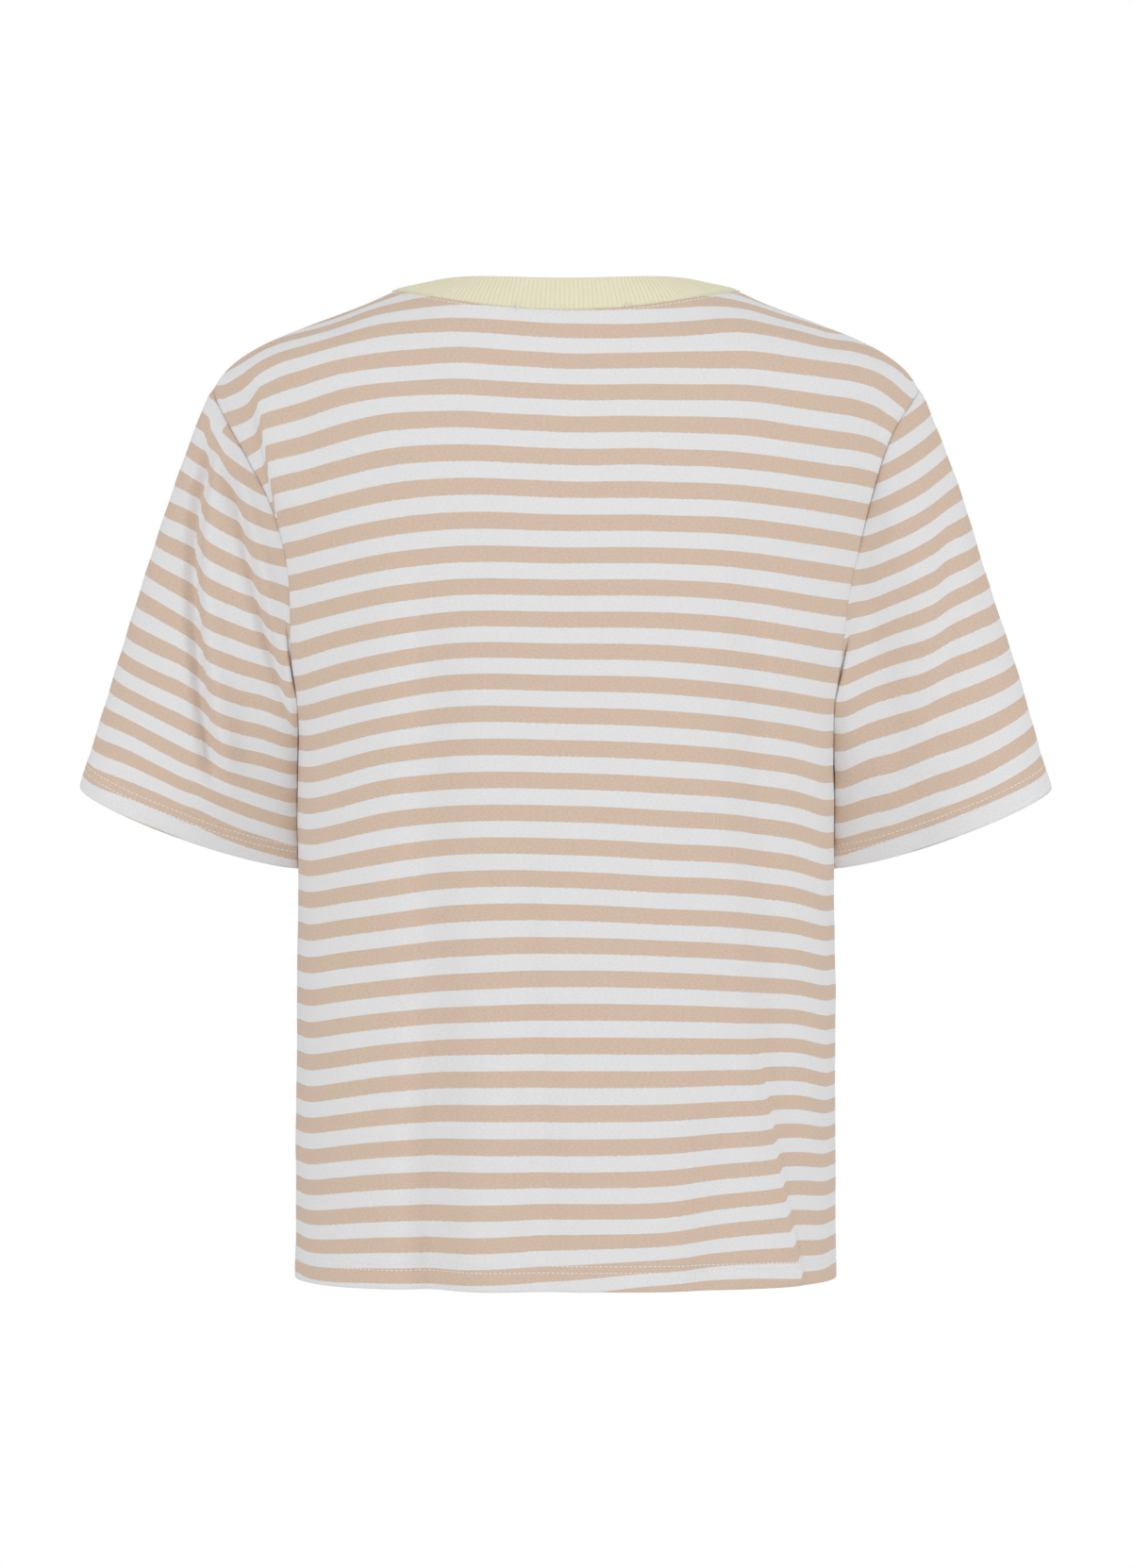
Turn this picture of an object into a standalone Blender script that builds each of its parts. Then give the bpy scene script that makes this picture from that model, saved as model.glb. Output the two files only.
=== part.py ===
"""A boxy T-shirt of striped jersey with a ribbed neckband, hollow and filled out as it hangs when worn.

Five cut pieces: back panel, front panel, two set-in sleeves and a neckband, each a closed thin wall.
Metres, +Z up. The back faces -Y, the front +Y and the wearer's right is +X. The origin is in the middle
of the neck at the height of the shoulders' high point, where the shirt hangs from its wearer.
"""

import math
from collections import namedtuple

import bpy
import numpy as np

JERSEY_WALL = 0.0012
RIB_WALL = 0.0020
SEAM_GAP = 0.00036
# Where the normals of the pieces at a seam average to less than this, the seam is a sharp fold.
LEAST_EVEN_SEAM = 0.6
SHARP_SEAM_ROOM = 0.0026

HEM_HEIGHT = -0.6280
UNDERARM_HEIGHT = -0.2800
SHOULDER_TIP_HEIGHT = -0.0660
NECK_POINT_HEIGHT = -0.0035

# How many strips of faces run up each stretch of a panel's edge, and across half a panel.
SIDE_SEAM_STRIPS = 8
ARMHOLE_STRIPS = 10
SHOULDER_STRIPS = 5
HALF_PANEL_STRIPS = 14
SLEEVE_STRIPS = 9
BAND_STRIPS = 2

# The body's form, as level rings. A ring's depth at x is depth * (1 - (x / half_width)**ROUNDNESS)**hollow,
# so a small hollow is a boxy tube and a large one is the lens shape of the shoulders. Above the shoulder
# tips the ring's ends lie on the shoulder seams; beside the armholes its ends are cut off by them.
ROUNDNESS = 2.3
Ring = namedtuple("Ring", "height half_width back_depth back_hollow front_depth front_hollow")
BODY_RINGS = (
    Ring(-0.640, 0.1710, 0.110, 0.42, 0.116, 0.42),
    Ring(-0.450, 0.1704, 0.112, 0.42, 0.120, 0.42),
    Ring(-0.330, 0.1702, 0.117, 0.42, 0.127, 0.42),
    Ring(-0.280, 0.1730, 0.119, 0.43, 0.130, 0.43),
    Ring(-0.230, 0.1865, 0.121, 0.44, 0.132, 0.44),
    Ring(-0.180, 0.1935, 0.121, 0.49, 0.129, 0.49),
    Ring(-0.145, 0.2030, 0.117, 0.56, 0.122, 0.56),
    Ring(-0.110, 0.2205, 0.106, 0.70, 0.112, 0.68),
    Ring(-0.085, 0.2268, 0.096, 0.77, 0.103, 0.74),
    Ring(-0.064, 0.2235, 0.087, 0.78, 0.094, 0.76),
    Ring(-0.050, 0.2120, 0.081, 0.75, 0.087, 0.74),
    Ring(-0.037, 0.1910, 0.0745, 0.72, 0.079, 0.72),
    Ring(-0.024, 0.1590, 0.067, 0.70, 0.070, 0.70),
    Ring(-0.012, 0.1270, 0.0605, 0.68, 0.061, 0.68),
    Ring(0.000, 0.1020, 0.052, 0.66, 0.051, 0.66),
)

# Side view of an armhole: an egg, narrow and a little pointed at the shoulder, this deep to the back and
# to the front.
ARMHOLE_BACK = 0.055
ARMHOLE_FRONT = 0.060
ARMHOLE_EGG = 0.35
ARMHOLE_POINT = 0.5

# The neckline dips from the shoulders' high points to the middle, by a power of a cosine. The yoke is the
# height, in the middle of the panel, of the row of faces that ends on the shoulder tips.
Panel = namedtuple("Panel", "side depth hollow armhole yoke_height neck_height neck_power")
BACK = Panel(-1, "back_depth", "back_hollow", ARMHOLE_BACK, -0.0850, -0.0200, 1.7)
FRONT = Panel(+1, "front_depth", "front_hollow", ARMHOLE_FRONT, -0.1300, -0.0950, 1.0)

# The cuff is an oval ring in a plane square to the sleeve, which hangs out to the side and a little forward.
# The oval is rolled about the sleeve, so that its inner end lies forward of the body's side.
CUFF_CENTRE_OUT = 0.2390
CUFF_CENTRE_FORWARD = 0.0180
CUFF_CENTRE_HEIGHT = -0.3428
CUFF_HALF_WIDTH = 0.0765
CUFF_HALF_DEPTH = 0.0400
CUFF_ROLL = math.radians(18.0)
SLEEVE_OUTWARD = math.radians(23.0)
SLEEVE_FORWARD = math.radians(12.0)
SLEEVE_PUFF = 0.0040
# Below the underarm the sleeve first stands out from the body, then lies forward along its side.
UNDERARM_OUT = 0.0080
UNDERARM_OUT_AT = 0.07
UNDERARM_FORWARD = 0.0290

BAND_WIDTH = 0.0200
BAND_LEAN_BACK = math.radians(18.0)
BAND_LEAN_FRONT = math.radians(35.0)
BAND_LEAN_SHOULDER = math.radians(65.0)

# Soft hanging folds. Each runs down from a top point to a bottom point, seen square on, and is this wide
# from middle to flank; a positive rise stands out from the body and a negative one sinks in.
Fold = namedtuple("Fold", "top_x top_z bottom_x bottom_z width rise")
BACK_FOLDS = (
    Fold(-0.085, -0.150, -0.098, -0.640, 0.020, -0.0045),
    Fold(-0.045, -0.300, -0.050, -0.640, 0.022, 0.0030),
    Fold(-0.012, -0.380, -0.006, -0.640, 0.018, -0.0025),
    Fold(0.118, -0.420, 0.146, -0.640, 0.014, -0.0060),
    Fold(0.090, -0.330, 0.108, -0.640, 0.026, 0.0040),
    Fold(-0.140, -0.330, -0.143, -0.640, 0.018, 0.0030),
)
FRONT_FOLDS = (
    Fold(-0.075, -0.200, -0.092, -0.640, 0.022, -0.0045),
    Fold(-0.020, -0.300, -0.030, -0.640, 0.024, 0.0035),
    Fold(0.040, -0.260, 0.052, -0.640, 0.022, -0.0040),
    Fold(0.100, -0.240, 0.112, -0.640, 0.024, 0.0035),
)

STRIPED_JERSEY = (0.72, 0.66, 0.60)
YELLOW_RIB = (0.75, 0.72, 0.50)


def ring_value(name, heights):
    """A column of BODY_RINGS at these heights, on one smooth curve through its rows."""
    at = np.array([ring.height for ring in BODY_RINGS])
    value = np.array([getattr(ring, name) for ring in BODY_RINGS])
    slope = np.gradient(value, at)
    heights = np.clip(heights, at[0], at[-1])
    below = np.clip(np.searchsorted(at, heights, side="right") - 1, 0, len(at) - 2)
    step = at[below + 1] - at[below]
    f = (heights - at[below]) / step
    start, end = value[below], value[below + 1]
    rise_in, rise_out = slope[below] * step, slope[below + 1] * step
    return (
        start * (2 * f**3 - 3 * f**2 + 1)
        + rise_in * (f**3 - 2 * f**2 + f)
        + end * (3 * f**2 - 2 * f**3)
        + rise_out * (f**3 - f**2)
    )


def depth_at(panel, x, z):
    """How far the body's form stands from the side-seam plane, signed: the back is negative."""
    across = np.minimum(np.abs(x) / ring_value("half_width", z), 1.0)
    remaining = np.maximum(1.0 - across**ROUNDNESS, 0.0)
    return panel.side * ring_value(panel.depth, z) * remaining ** ring_value(panel.hollow, z)


def armhole_angles():
    """Angles round the armhole egg, from the shoulder tip down to the underarm point."""
    return np.linspace(0.0, math.pi, ARMHOLE_STRIPS + 1)


def armhole_edge(panel, angles):
    """(x, y, z) of one panel's armhole seam on the +X side, at angles from the shoulder tip."""
    middle = (SHOULDER_TIP_HEIGHT + UNDERARM_HEIGHT) / 2
    half = (SHOULDER_TIP_HEIGHT - UNDERARM_HEIGHT) / 2
    z = middle + half * np.cos(angles)
    pointed = 1 + ARMHOLE_POINT * (1 + np.cos(angles)) / 2
    y = panel.armhole * np.sin(angles) ** pointed * (1 - ARMHOLE_EGG * np.cos(angles))
    share = (y / ring_value(panel.depth, z)) ** (1 / ring_value(panel.hollow, z))
    x = ring_value("half_width", z) * (1 - np.minimum(share, 1)) ** (1 / ROUNDNESS)
    return np.stack([x, panel.side * y, z], axis=-1)


def side_edge(panel):
    """A panel's +X edge from the hem up: side seam, armhole, shoulder seam to the neck."""
    low = np.linspace(HEM_HEIGHT, UNDERARM_HEIGHT, SIDE_SEAM_STRIPS + 1)[:-1]
    seam = np.stack([ring_value("half_width", low), 0 * low, low], axis=-1)
    armhole = armhole_edge(panel, armhole_angles()[::-1])
    high = np.linspace(SHOULDER_TIP_HEIGHT, NECK_POINT_HEIGHT, SHOULDER_STRIPS + 1)[1:]
    shoulder = np.stack([ring_value("half_width", high), 0 * high, high], axis=-1)
    return np.concatenate([seam, armhole, shoulder])


def fold_relief(folds, x, z):
    """How far the folds lift the cloth off the form; each fades in from its top and is widest at the hem."""
    lift = np.zeros_like(x)
    for fold in folds:
        down = np.clip((fold.top_z - z) / (fold.top_z - fold.bottom_z), 0, 1)
        middle = fold.top_x + (fold.bottom_x - fold.top_x) * down
        fade = down * down * (3 - 2 * down)
        lift += fold.rise * fade * np.exp(-(((x - middle) / fold.width) ** 2))
    return lift


def panel_grid(panel, folds):
    """Points of a body panel, rows from hem to neckline and columns from -X to +X."""
    edge = side_edge(panel)
    tip_row = SIDE_SEAM_STRIPS + ARMHOLE_STRIPS
    middle_z = np.interp(
        np.arange(len(edge)),
        (0, SIDE_SEAM_STRIPS, tip_row, tip_row + SHOULDER_STRIPS),
        (HEM_HEIGHT, UNDERARM_HEIGHT, panel.yoke_height, panel.neck_height),
    )[:, None]
    dip_power = np.interp(np.arange(len(edge)), (tip_row, len(edge) - 1), (2, panel.neck_power))[:, None]
    turn = np.arcsin(np.minimum(edge[:, 0] / ring_value("half_width", edge[:, 2]), 1))[:, None]
    share = np.linspace(-1, 1, 2 * HALF_PANEL_STRIPS + 1)[None, :]
    x = edge[:, :1] * np.sin(share * turn) / np.sin(turn)
    dip = np.cos(share * math.pi / 2) ** dip_power
    z = edge[:, 2:] + (middle_z - edge[:, 2:]) * dip
    y = depth_at(panel, x, z)
    inside = np.cos(share * math.pi / 2) ** 0.5
    y = y + panel.side * fold_relief(folds, x, z) * inside
    grid = np.stack([x, y, z], axis=-1)
    grid[:, -1] = edge
    grid[:, 0] = edge * (-1, 1, 1)
    return grid


def sleeve_grid():
    """Points of the +X sleeve, rows from armhole to cuff and columns round it, starting at the top."""
    angles = armhole_angles()
    back = armhole_edge(BACK, angles)
    front = armhole_edge(FRONT, angles)
    armhole = np.concatenate([back, front[-2:0:-1]])
    turn = np.concatenate([angles, 2 * math.pi - angles[-2:0:-1]])[:, None]
    # Out along the cuff's wide way, and back along its narrow way, both square to the sleeve.
    wide = np.array([math.cos(SLEEVE_OUTWARD), 0.0, math.sin(SLEEVE_OUTWARD)])
    narrow = np.array(
        [
            math.sin(SLEEVE_OUTWARD) * math.sin(SLEEVE_FORWARD),
            -math.cos(SLEEVE_FORWARD),
            -math.cos(SLEEVE_OUTWARD) * math.sin(SLEEVE_FORWARD),
        ]
    )
    wide, narrow = (
        wide * math.cos(CUFF_ROLL) + narrow * math.sin(CUFF_ROLL),
        narrow * math.cos(CUFF_ROLL) - wide * math.sin(CUFF_ROLL),
    )
    centre = np.array([CUFF_CENTRE_OUT, CUFF_CENTRE_FORWARD, CUFF_CENTRE_HEIGHT])
    cuff = centre + CUFF_HALF_WIDTH * np.cos(turn) * wide + CUFF_HALF_DEPTH * np.sin(turn) * narrow
    along = np.linspace(0, 1, SLEEVE_STRIPS + 1)[:, None, None]
    on_top = (1 + np.cos(turn)) / 2
    puff = SLEEVE_PUFF * np.sin(math.pi * along**0.6) * on_top * (np.cos(turn) * wide + np.sin(turn) * narrow)
    out = UNDERARM_OUT * along / UNDERARM_OUT_AT * np.exp(1 - along / UNDERARM_OUT_AT)
    forward = UNDERARM_FORWARD * np.sin(math.pi * along**0.5)
    clear = (1 - on_top) ** 3 * (out * (1, 0, 0) + forward * (0, 1, 0))
    return armhole + (cuff - armhole) * along + puff + clear


def band_grid(back, front):
    """Points of the neckband, rows from its seam to its top edge and columns round it from the back's -X end."""
    seam = np.concatenate([back[-1], front[-1][-2:0:-1]])
    side = seam[:, :1] / seam[:, 0].max()
    middle_lean = np.where(seam[:, 1:2] < 0, BAND_LEAN_BACK, BAND_LEAN_FRONT)
    lean = middle_lean + (BAND_LEAN_SHOULDER - middle_lean) * np.abs(side) ** 1.3
    outward = seam * (1, 1, 0)
    outward /= np.linalg.norm(outward, axis=1, keepdims=True)
    rise = np.cos(lean) * (0, 0, 1) - np.sin(lean) * outward
    up = np.linspace(0, BAND_WIDTH, BAND_STRIPS + 1)[:, None, None]
    return seam + up * rise


def grid_normals(grid, closed):
    """Unit normals of a grid of points, to the side of rows x columns."""
    if closed:
        across = np.roll(grid, -1, axis=1) - np.roll(grid, 1, axis=1)
    else:
        across = np.gradient(grid, axis=1)
    normal = np.cross(across, np.gradient(grid, axis=0))
    return normal / np.linalg.norm(normal, axis=-1, keepdims=True)


def settle_seams(grids, normals):
    """Gives points where pieces meet one common normal, so that their edges stand face to face. Where the
    cloth folds back sharply, as under the arm, each keeps its own. Returns how far each point's edge
    stands back from its seam."""
    room = {name: np.full(grid.shape[:2], SEAM_GAP / 2) for name, grid in grids.items()}
    met = {}
    for name, grid in grids.items():
        for place in np.ndindex(grid.shape[:2]):
            met.setdefault(tuple(np.round(grid[place], 6)), []).append((name, place))
    for places in met.values():
        common = sum(normals[name][place] for name, place in places) / len(places)
        evenness = np.linalg.norm(common)
        for name, place in places:
            if evenness > LEAST_EVEN_SEAM:
                normals[name][place] = common / evenness
            else:
                room[name][place] += SHARP_SEAM_ROOM
    return room


def step_back(edge, inner, room):
    """Moves an edge of a grid off its seam, square to the seam."""
    along = np.gradient(edge, axis=0)
    along /= np.linalg.norm(along, axis=-1, keepdims=True)
    inward = inner - edge
    inward -= along * (inward * along).sum(axis=-1, keepdims=True)
    return inward / np.linalg.norm(inward, axis=-1, keepdims=True) * room[:, None]


def leave_seams(grid, room, edges):
    """The grid with the named edges moved off their seams."""
    kept = grid.copy()
    if "columns" in edges:
        kept[:, 0] += step_back(grid[:, 0], grid[:, 1], room[:, 0])
        kept[:, -1] += step_back(grid[:, -1], grid[:, -2], room[:, -1])
    if "first_row" in edges:
        kept[0] += step_back(grid[0], grid[1], room[0])
    if "last_row" in edges:
        kept[-1] += step_back(grid[-1], grid[-2], room[-1])
    return kept


def split_quad(a, b, c, d, leans_back):
    """Two triangles of a quad, split the one way or the other."""
    return [(a, b, d), (b, c, d)] if leans_back else [(a, b, c), (a, c, d)]


def wall_faces(rows, columns, closed, leans_back):
    """Triangles of a wall whose outer points come first, then as many inner ones."""
    inner = rows * columns
    last = columns if closed else columns - 1
    faces = []
    for row in range(rows - 1):
        for column in range(last):
            a = row * columns + column
            b = row * columns + (column + 1) % columns
            for face in split_quad(a, b, b + columns, a + columns, leans_back[column]):
                faces.append(face)
                faces.append(tuple(inner + corner for corner in face[::-1]))
    edges = []
    for column in range(last):
        a, b = column, (column + 1) % columns
        edges.append((b, a))
        edges.append((a + (rows - 1) * columns, b + (rows - 1) * columns))
    if not closed:
        for row in range(rows - 1):
            a, b = row * columns, (row + 1) * columns
            edges.append((a, b))
            edges.append((b + columns - 1, a + columns - 1))
    for a, b in edges:
        faces += split_quad(a, b, inner + b, inner + a, False)
    return faces


def make_wall(name, grid, normals, thickness, closed, leans_back, material):
    """One closed wall round a grid of points, half its thickness to each side."""
    rows, columns = grid.shape[:2]
    outer = (grid + normals * thickness / 2).reshape(-1, 3)
    inner = (grid - normals * thickness / 2).reshape(-1, 3)
    points = np.concatenate([outer, inner])
    mesh = bpy.data.meshes.new(name)
    mesh.from_pydata(points.tolist(), [], wall_faces(rows, columns, closed, leans_back))
    mesh.materials.append(material)
    mesh.shade_smooth()
    mesh.set_sharp_from_angle(angle=math.radians(50))
    wall = bpy.data.objects.new(name, mesh)
    bpy.context.scene.collection.objects.link(wall)
    return wall


def make_material(name, colour, roughness):
    material = bpy.data.materials.new(name)
    material.use_nodes = True
    shader = material.node_tree.nodes["Principled BSDF"]
    shader.inputs["Base Color"].default_value = (*colour, 1.0)
    shader.inputs["Roughness"].default_value = roughness
    shader.inputs["Metallic"].default_value = 0.0
    return material


def build():
    for old in list(bpy.data.objects):
        bpy.data.objects.remove(old, do_unlink=True)

    grids = {
        "back_panel": panel_grid(BACK, BACK_FOLDS),
        "front_panel": panel_grid(FRONT, FRONT_FOLDS)[:, ::-1],
        "right_sleeve": sleeve_grid(),
    }
    grids["left_sleeve"] = np.roll(grids["right_sleeve"][:, ::-1], 1, axis=1) * (-1, 1, 1)
    grids["neckband"] = band_grid(grids["back_panel"], grids["front_panel"][:, ::-1])

    closed = {"left_sleeve", "right_sleeve", "neckband"}
    normals = {name: grid_normals(grid, name in closed) for name, grid in grids.items()}
    room = settle_seams(grids, normals)

    jersey = make_material("striped_jersey", STRIPED_JERSEY, 0.85)
    rib = make_material("yellow_rib", YELLOW_RIB, 0.85)
    for name in ("back_panel", "front_panel"):
        grid = leave_seams(grids[name], room[name], {"columns", "last_row"})
        halves = [False] * HALF_PANEL_STRIPS + [True] * HALF_PANEL_STRIPS
        make_wall(name, grid, normals[name], JERSEY_WALL, False, halves, jersey)
    for name in ("left_sleeve", "right_sleeve"):
        grid = leave_seams(grids[name], room[name], {"first_row"})
        lean = [name == "left_sleeve"] * grid.shape[1]
        make_wall(name, grid, normals[name], JERSEY_WALL, True, lean, jersey)
    band = leave_seams(grids["neckband"], room["neckband"], {"first_row"})
    make_wall("neckband", band, normals["neckband"], RIB_WALL, True, [False] * band.shape[1], rib)


build()
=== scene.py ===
"""A boxy T-shirt of beige and white striped jersey with a pale yellow rib neckband, hollow, hung as when worn.

Metres, +Z up. The back faces -Y, the wearer's right is +X, and z = 0 is the height of the neck's high points.
"""

import math
from collections import namedtuple

import bpy
import numpy as np
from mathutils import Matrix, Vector


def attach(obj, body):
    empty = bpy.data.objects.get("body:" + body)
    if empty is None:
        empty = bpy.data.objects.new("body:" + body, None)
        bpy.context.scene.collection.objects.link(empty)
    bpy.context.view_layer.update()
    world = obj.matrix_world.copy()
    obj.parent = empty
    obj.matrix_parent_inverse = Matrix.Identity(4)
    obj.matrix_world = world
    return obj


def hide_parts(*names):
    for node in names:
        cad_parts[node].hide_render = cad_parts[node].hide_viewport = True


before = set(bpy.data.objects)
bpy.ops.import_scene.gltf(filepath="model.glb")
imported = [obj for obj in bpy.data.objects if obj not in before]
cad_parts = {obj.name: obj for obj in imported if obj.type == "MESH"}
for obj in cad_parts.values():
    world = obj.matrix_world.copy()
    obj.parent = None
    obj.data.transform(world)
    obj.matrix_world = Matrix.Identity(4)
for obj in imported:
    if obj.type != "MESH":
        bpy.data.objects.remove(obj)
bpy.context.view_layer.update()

# ------------------------------------------------------------------------------------------------ back panel
# The back of the body, cut from one piece of striped single jersey with its shoulders, armholes and a shallow
# neck. It is overlocked to the front and the sleeves, so those seams sink in a little, and its hem is turned
# up 16 mm and held by a two-needle stitch.

HEM_HEIGHT = -0.6280
UNDERARM_HEIGHT = -0.2800
SHOULDER_TIP_HEIGHT = -0.0660
NECK_POINT_HEIGHT = -0.0035

# A panel's side runs up from the hem in this many strips of side seam, armhole and shoulder seam.
SIDE_SEAM_STRIPS = 8
ARMHOLE_STRIPS = 10
SHOULDER_STRIPS = 5
SHOULDER_TIP_CLIMB = SIDE_SEAM_STRIPS + ARMHOLE_STRIPS
NECK_CLIMB = SHOULDER_TIP_CLIMB + SHOULDER_STRIPS

# The body as level rings. At x a ring is depth * (1 - (x / half_width)**ROUNDNESS)**hollow deep.
ROUNDNESS = 2.3
Ring = namedtuple("Ring", "height half_width back_depth back_hollow front_depth front_hollow")
BODY_RINGS = (
    Ring(-0.640, 0.1710, 0.110, 0.42, 0.116, 0.42),
    Ring(-0.450, 0.1704, 0.112, 0.42, 0.120, 0.42),
    Ring(-0.330, 0.1702, 0.117, 0.42, 0.127, 0.42),
    Ring(-0.280, 0.1730, 0.119, 0.43, 0.130, 0.43),
    Ring(-0.230, 0.1865, 0.121, 0.44, 0.132, 0.44),
    Ring(-0.180, 0.1935, 0.121, 0.49, 0.129, 0.49),
    Ring(-0.145, 0.2030, 0.117, 0.56, 0.122, 0.56),
    Ring(-0.110, 0.2205, 0.106, 0.70, 0.112, 0.68),
    Ring(-0.085, 0.2268, 0.096, 0.77, 0.103, 0.74),
    Ring(-0.064, 0.2235, 0.087, 0.78, 0.094, 0.76),
    Ring(-0.050, 0.2120, 0.081, 0.75, 0.087, 0.74),
    Ring(-0.037, 0.1910, 0.0745, 0.72, 0.079, 0.72),
    Ring(-0.024, 0.1590, 0.067, 0.70, 0.070, 0.70),
    Ring(-0.012, 0.1270, 0.0605, 0.68, 0.061, 0.68),
    Ring(0.000, 0.1020, 0.052, 0.66, 0.051, 0.66),
)

Panel = namedtuple("Panel", "side depth hollow armhole yoke_height neck_height neck_power")
BACK = Panel(-1, "back_depth", "back_hollow", 0.055, -0.0850, -0.0200, 2.1)
ARMHOLE_EGG = 0.35
ARMHOLE_POINT = 0.5


def smooth_curve(at, values, where):
    """A smooth curve through values at rising places, the last axis of both, read at where."""
    at = np.asarray(at, dtype=float)
    values = np.asarray(values, dtype=float)
    slopes = np.gradient(values, at, axis=-1)
    where = np.clip(where, at[0], at[-1])
    below = np.clip(np.searchsorted(at, where, side="right") - 1, 0, len(at) - 2)
    step = at[below + 1] - at[below]
    f = (where - at[below]) / step

    def pick(table, index):
        if table.ndim == 1:
            return table[index]
        return np.take_along_axis(table, index[..., None], axis=-1)[..., 0]

    return (
        pick(values, below) * (2 * f**3 - 3 * f**2 + 1)
        + pick(slopes, below) * step * (f**3 - 2 * f**2 + f)
        + pick(values, below + 1) * (3 * f**2 - 2 * f**3)
        + pick(slopes, below + 1) * step * (f**3 - f**2)
    )


def ring_value(column, heights):
    """One column of the rings' table, read at these heights."""
    values = [getattr(ring, column) for ring in BODY_RINGS]
    return smooth_curve([ring.height for ring in BODY_RINGS], values, heights)


def depth_at(panel, x, z):
    """How far the body stands from the plane of the side seams, signed: the back is negative."""
    across = np.minimum(np.abs(x) / ring_value("half_width", z), 1.0)
    remaining = np.maximum(1.0 - across**ROUNDNESS, 0.0)
    return panel.side * ring_value(panel.depth, z) * remaining ** ring_value(panel.hollow, z)


def width_at(panel, y, z):
    """How far out the body's +X side is at points this deep: depth_at the other way round."""
    share = np.minimum(np.abs(y) / ring_value(panel.depth, z), 1) ** (1 / ring_value(panel.hollow, z))
    return ring_value("half_width", z) * (1 - share) ** (1 / ROUNDNESS)


def armhole_edge(panel, angles):
    """One panel's armhole seam on the +X side, at angles from the shoulder tip down to the underarm."""
    middle = (SHOULDER_TIP_HEIGHT + UNDERARM_HEIGHT) / 2
    half = (SHOULDER_TIP_HEIGHT - UNDERARM_HEIGHT) / 2
    z = middle + half * np.cos(angles)
    pointed = 1 + ARMHOLE_POINT * (1 + np.cos(angles)) / 2
    y = panel.armhole * np.abs(np.sin(angles)) ** pointed * (1 - ARMHOLE_EGG * np.cos(angles))
    return np.stack([width_at(panel, y, z), panel.side * y, z], axis=-1)


# The right armhole seam at the back hangs a little straighter than the left: at these heights it lies this much
# further out, and the cloth towards the middle moves by the share of the half width to this power.
RIGHT_SEAM_HEIGHTS = (-0.280, -0.255, -0.231, -0.208, -0.171, -0.139, -0.109, -0.092, -0.075, -0.066)
RIGHT_SEAM_OUT = (0.0, 0.0, 0.0010, 0.0035, 0.0074, 0.0052, -0.0017, -0.0040, -0.0020, 0.0)
RIGHT_SEAM_FADE = 4


def right_seam_out(z):
    """How much further out the right armhole seam lies at the back."""
    return smooth_curve(RIGHT_SEAM_HEIGHTS, RIGHT_SEAM_OUT, z)


def side_edge(panel, climb):
    """A panel's +X edge at these climbs, counted in strips from the hem to the neck."""
    low_z = HEM_HEIGHT + (UNDERARM_HEIGHT - HEM_HEIGHT) * climb / SIDE_SEAM_STRIPS
    round_armhole = np.clip((climb - SIDE_SEAM_STRIPS) / ARMHOLE_STRIPS, 0, 1)
    armhole = armhole_edge(panel, math.pi * (1 - round_armhole))
    along_shoulder = np.clip((climb - SHOULDER_TIP_CLIMB) / SHOULDER_STRIPS, 0, 1)
    high_z = SHOULDER_TIP_HEIGHT + (NECK_POINT_HEIGHT - SHOULDER_TIP_HEIGHT) * along_shoulder
    on_armhole = (climb > SIDE_SEAM_STRIPS) & (climb <= SHOULDER_TIP_CLIMB)
    z = np.where(on_armhole, armhole[:, 2], np.where(climb <= SIDE_SEAM_STRIPS, low_z, high_z))
    x = np.where(on_armhole, armhole[:, 0], ring_value("half_width", z))
    return np.stack([x, np.where(on_armhole, armhole[:, 1], 0.0), z], axis=-1)


def panel_points(panel, climb, share):
    """Points of the smooth panel, a row for each climb and a column for each share from -1 at -X to +1."""
    edge = side_edge(panel, climb)
    climbs = (0, SIDE_SEAM_STRIPS, SHOULDER_TIP_CLIMB, NECK_CLIMB)
    middle_z = np.interp(climb, climbs, (HEM_HEIGHT, UNDERARM_HEIGHT, panel.yoke_height, panel.neck_height))
    middle_z += np.minimum(climb, 0) * (UNDERARM_HEIGHT - HEM_HEIGHT) / SIDE_SEAM_STRIPS
    dip_power = np.interp(climb, (SHOULDER_TIP_CLIMB, NECK_CLIMB), (2, panel.neck_power))[:, None]
    turn = np.arcsin(np.minimum(edge[:, 0] / ring_value("half_width", edge[:, 2]), 1))[:, None]
    x = edge[:, :1] * np.sin(share * turn) / np.sin(turn)
    on_back_armhole = (panel == BACK) * (climb > SIDE_SEAM_STRIPS) * (climb < SHOULDER_TIP_CLIMB)
    right_out = on_back_armhole * right_seam_out(edge[:, 2])
    x += right_out[:, None] * np.maximum(share, 0) ** RIGHT_SEAM_FADE
    dip = np.maximum(np.cos(share * math.pi / 2), 0) ** dip_power
    z = edge[:, 2:] + (middle_z[:, None] - edge[:, 2:]) * dip
    grid = np.stack([x, depth_at(panel, x, z), z], axis=-1)
    grid[:, 0] = edge * (-1, 1, 1)
    grid[:, -1] = np.where((right_out != 0)[:, None], grid[:, -1], edge)
    return grid


def grid_normals(grid, closed=False):
    """Unit normals of a grid of points, to the side of columns x rows."""
    if closed:
        across = np.roll(grid, -1, axis=1) - np.roll(grid, 1, axis=1)
    else:
        across = np.gradient(grid, axis=1)
    normal = np.cross(across, np.gradient(grid, axis=0))
    return normal / np.maximum(np.linalg.norm(normal, axis=-1, keepdims=True), 1e-12)


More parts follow.
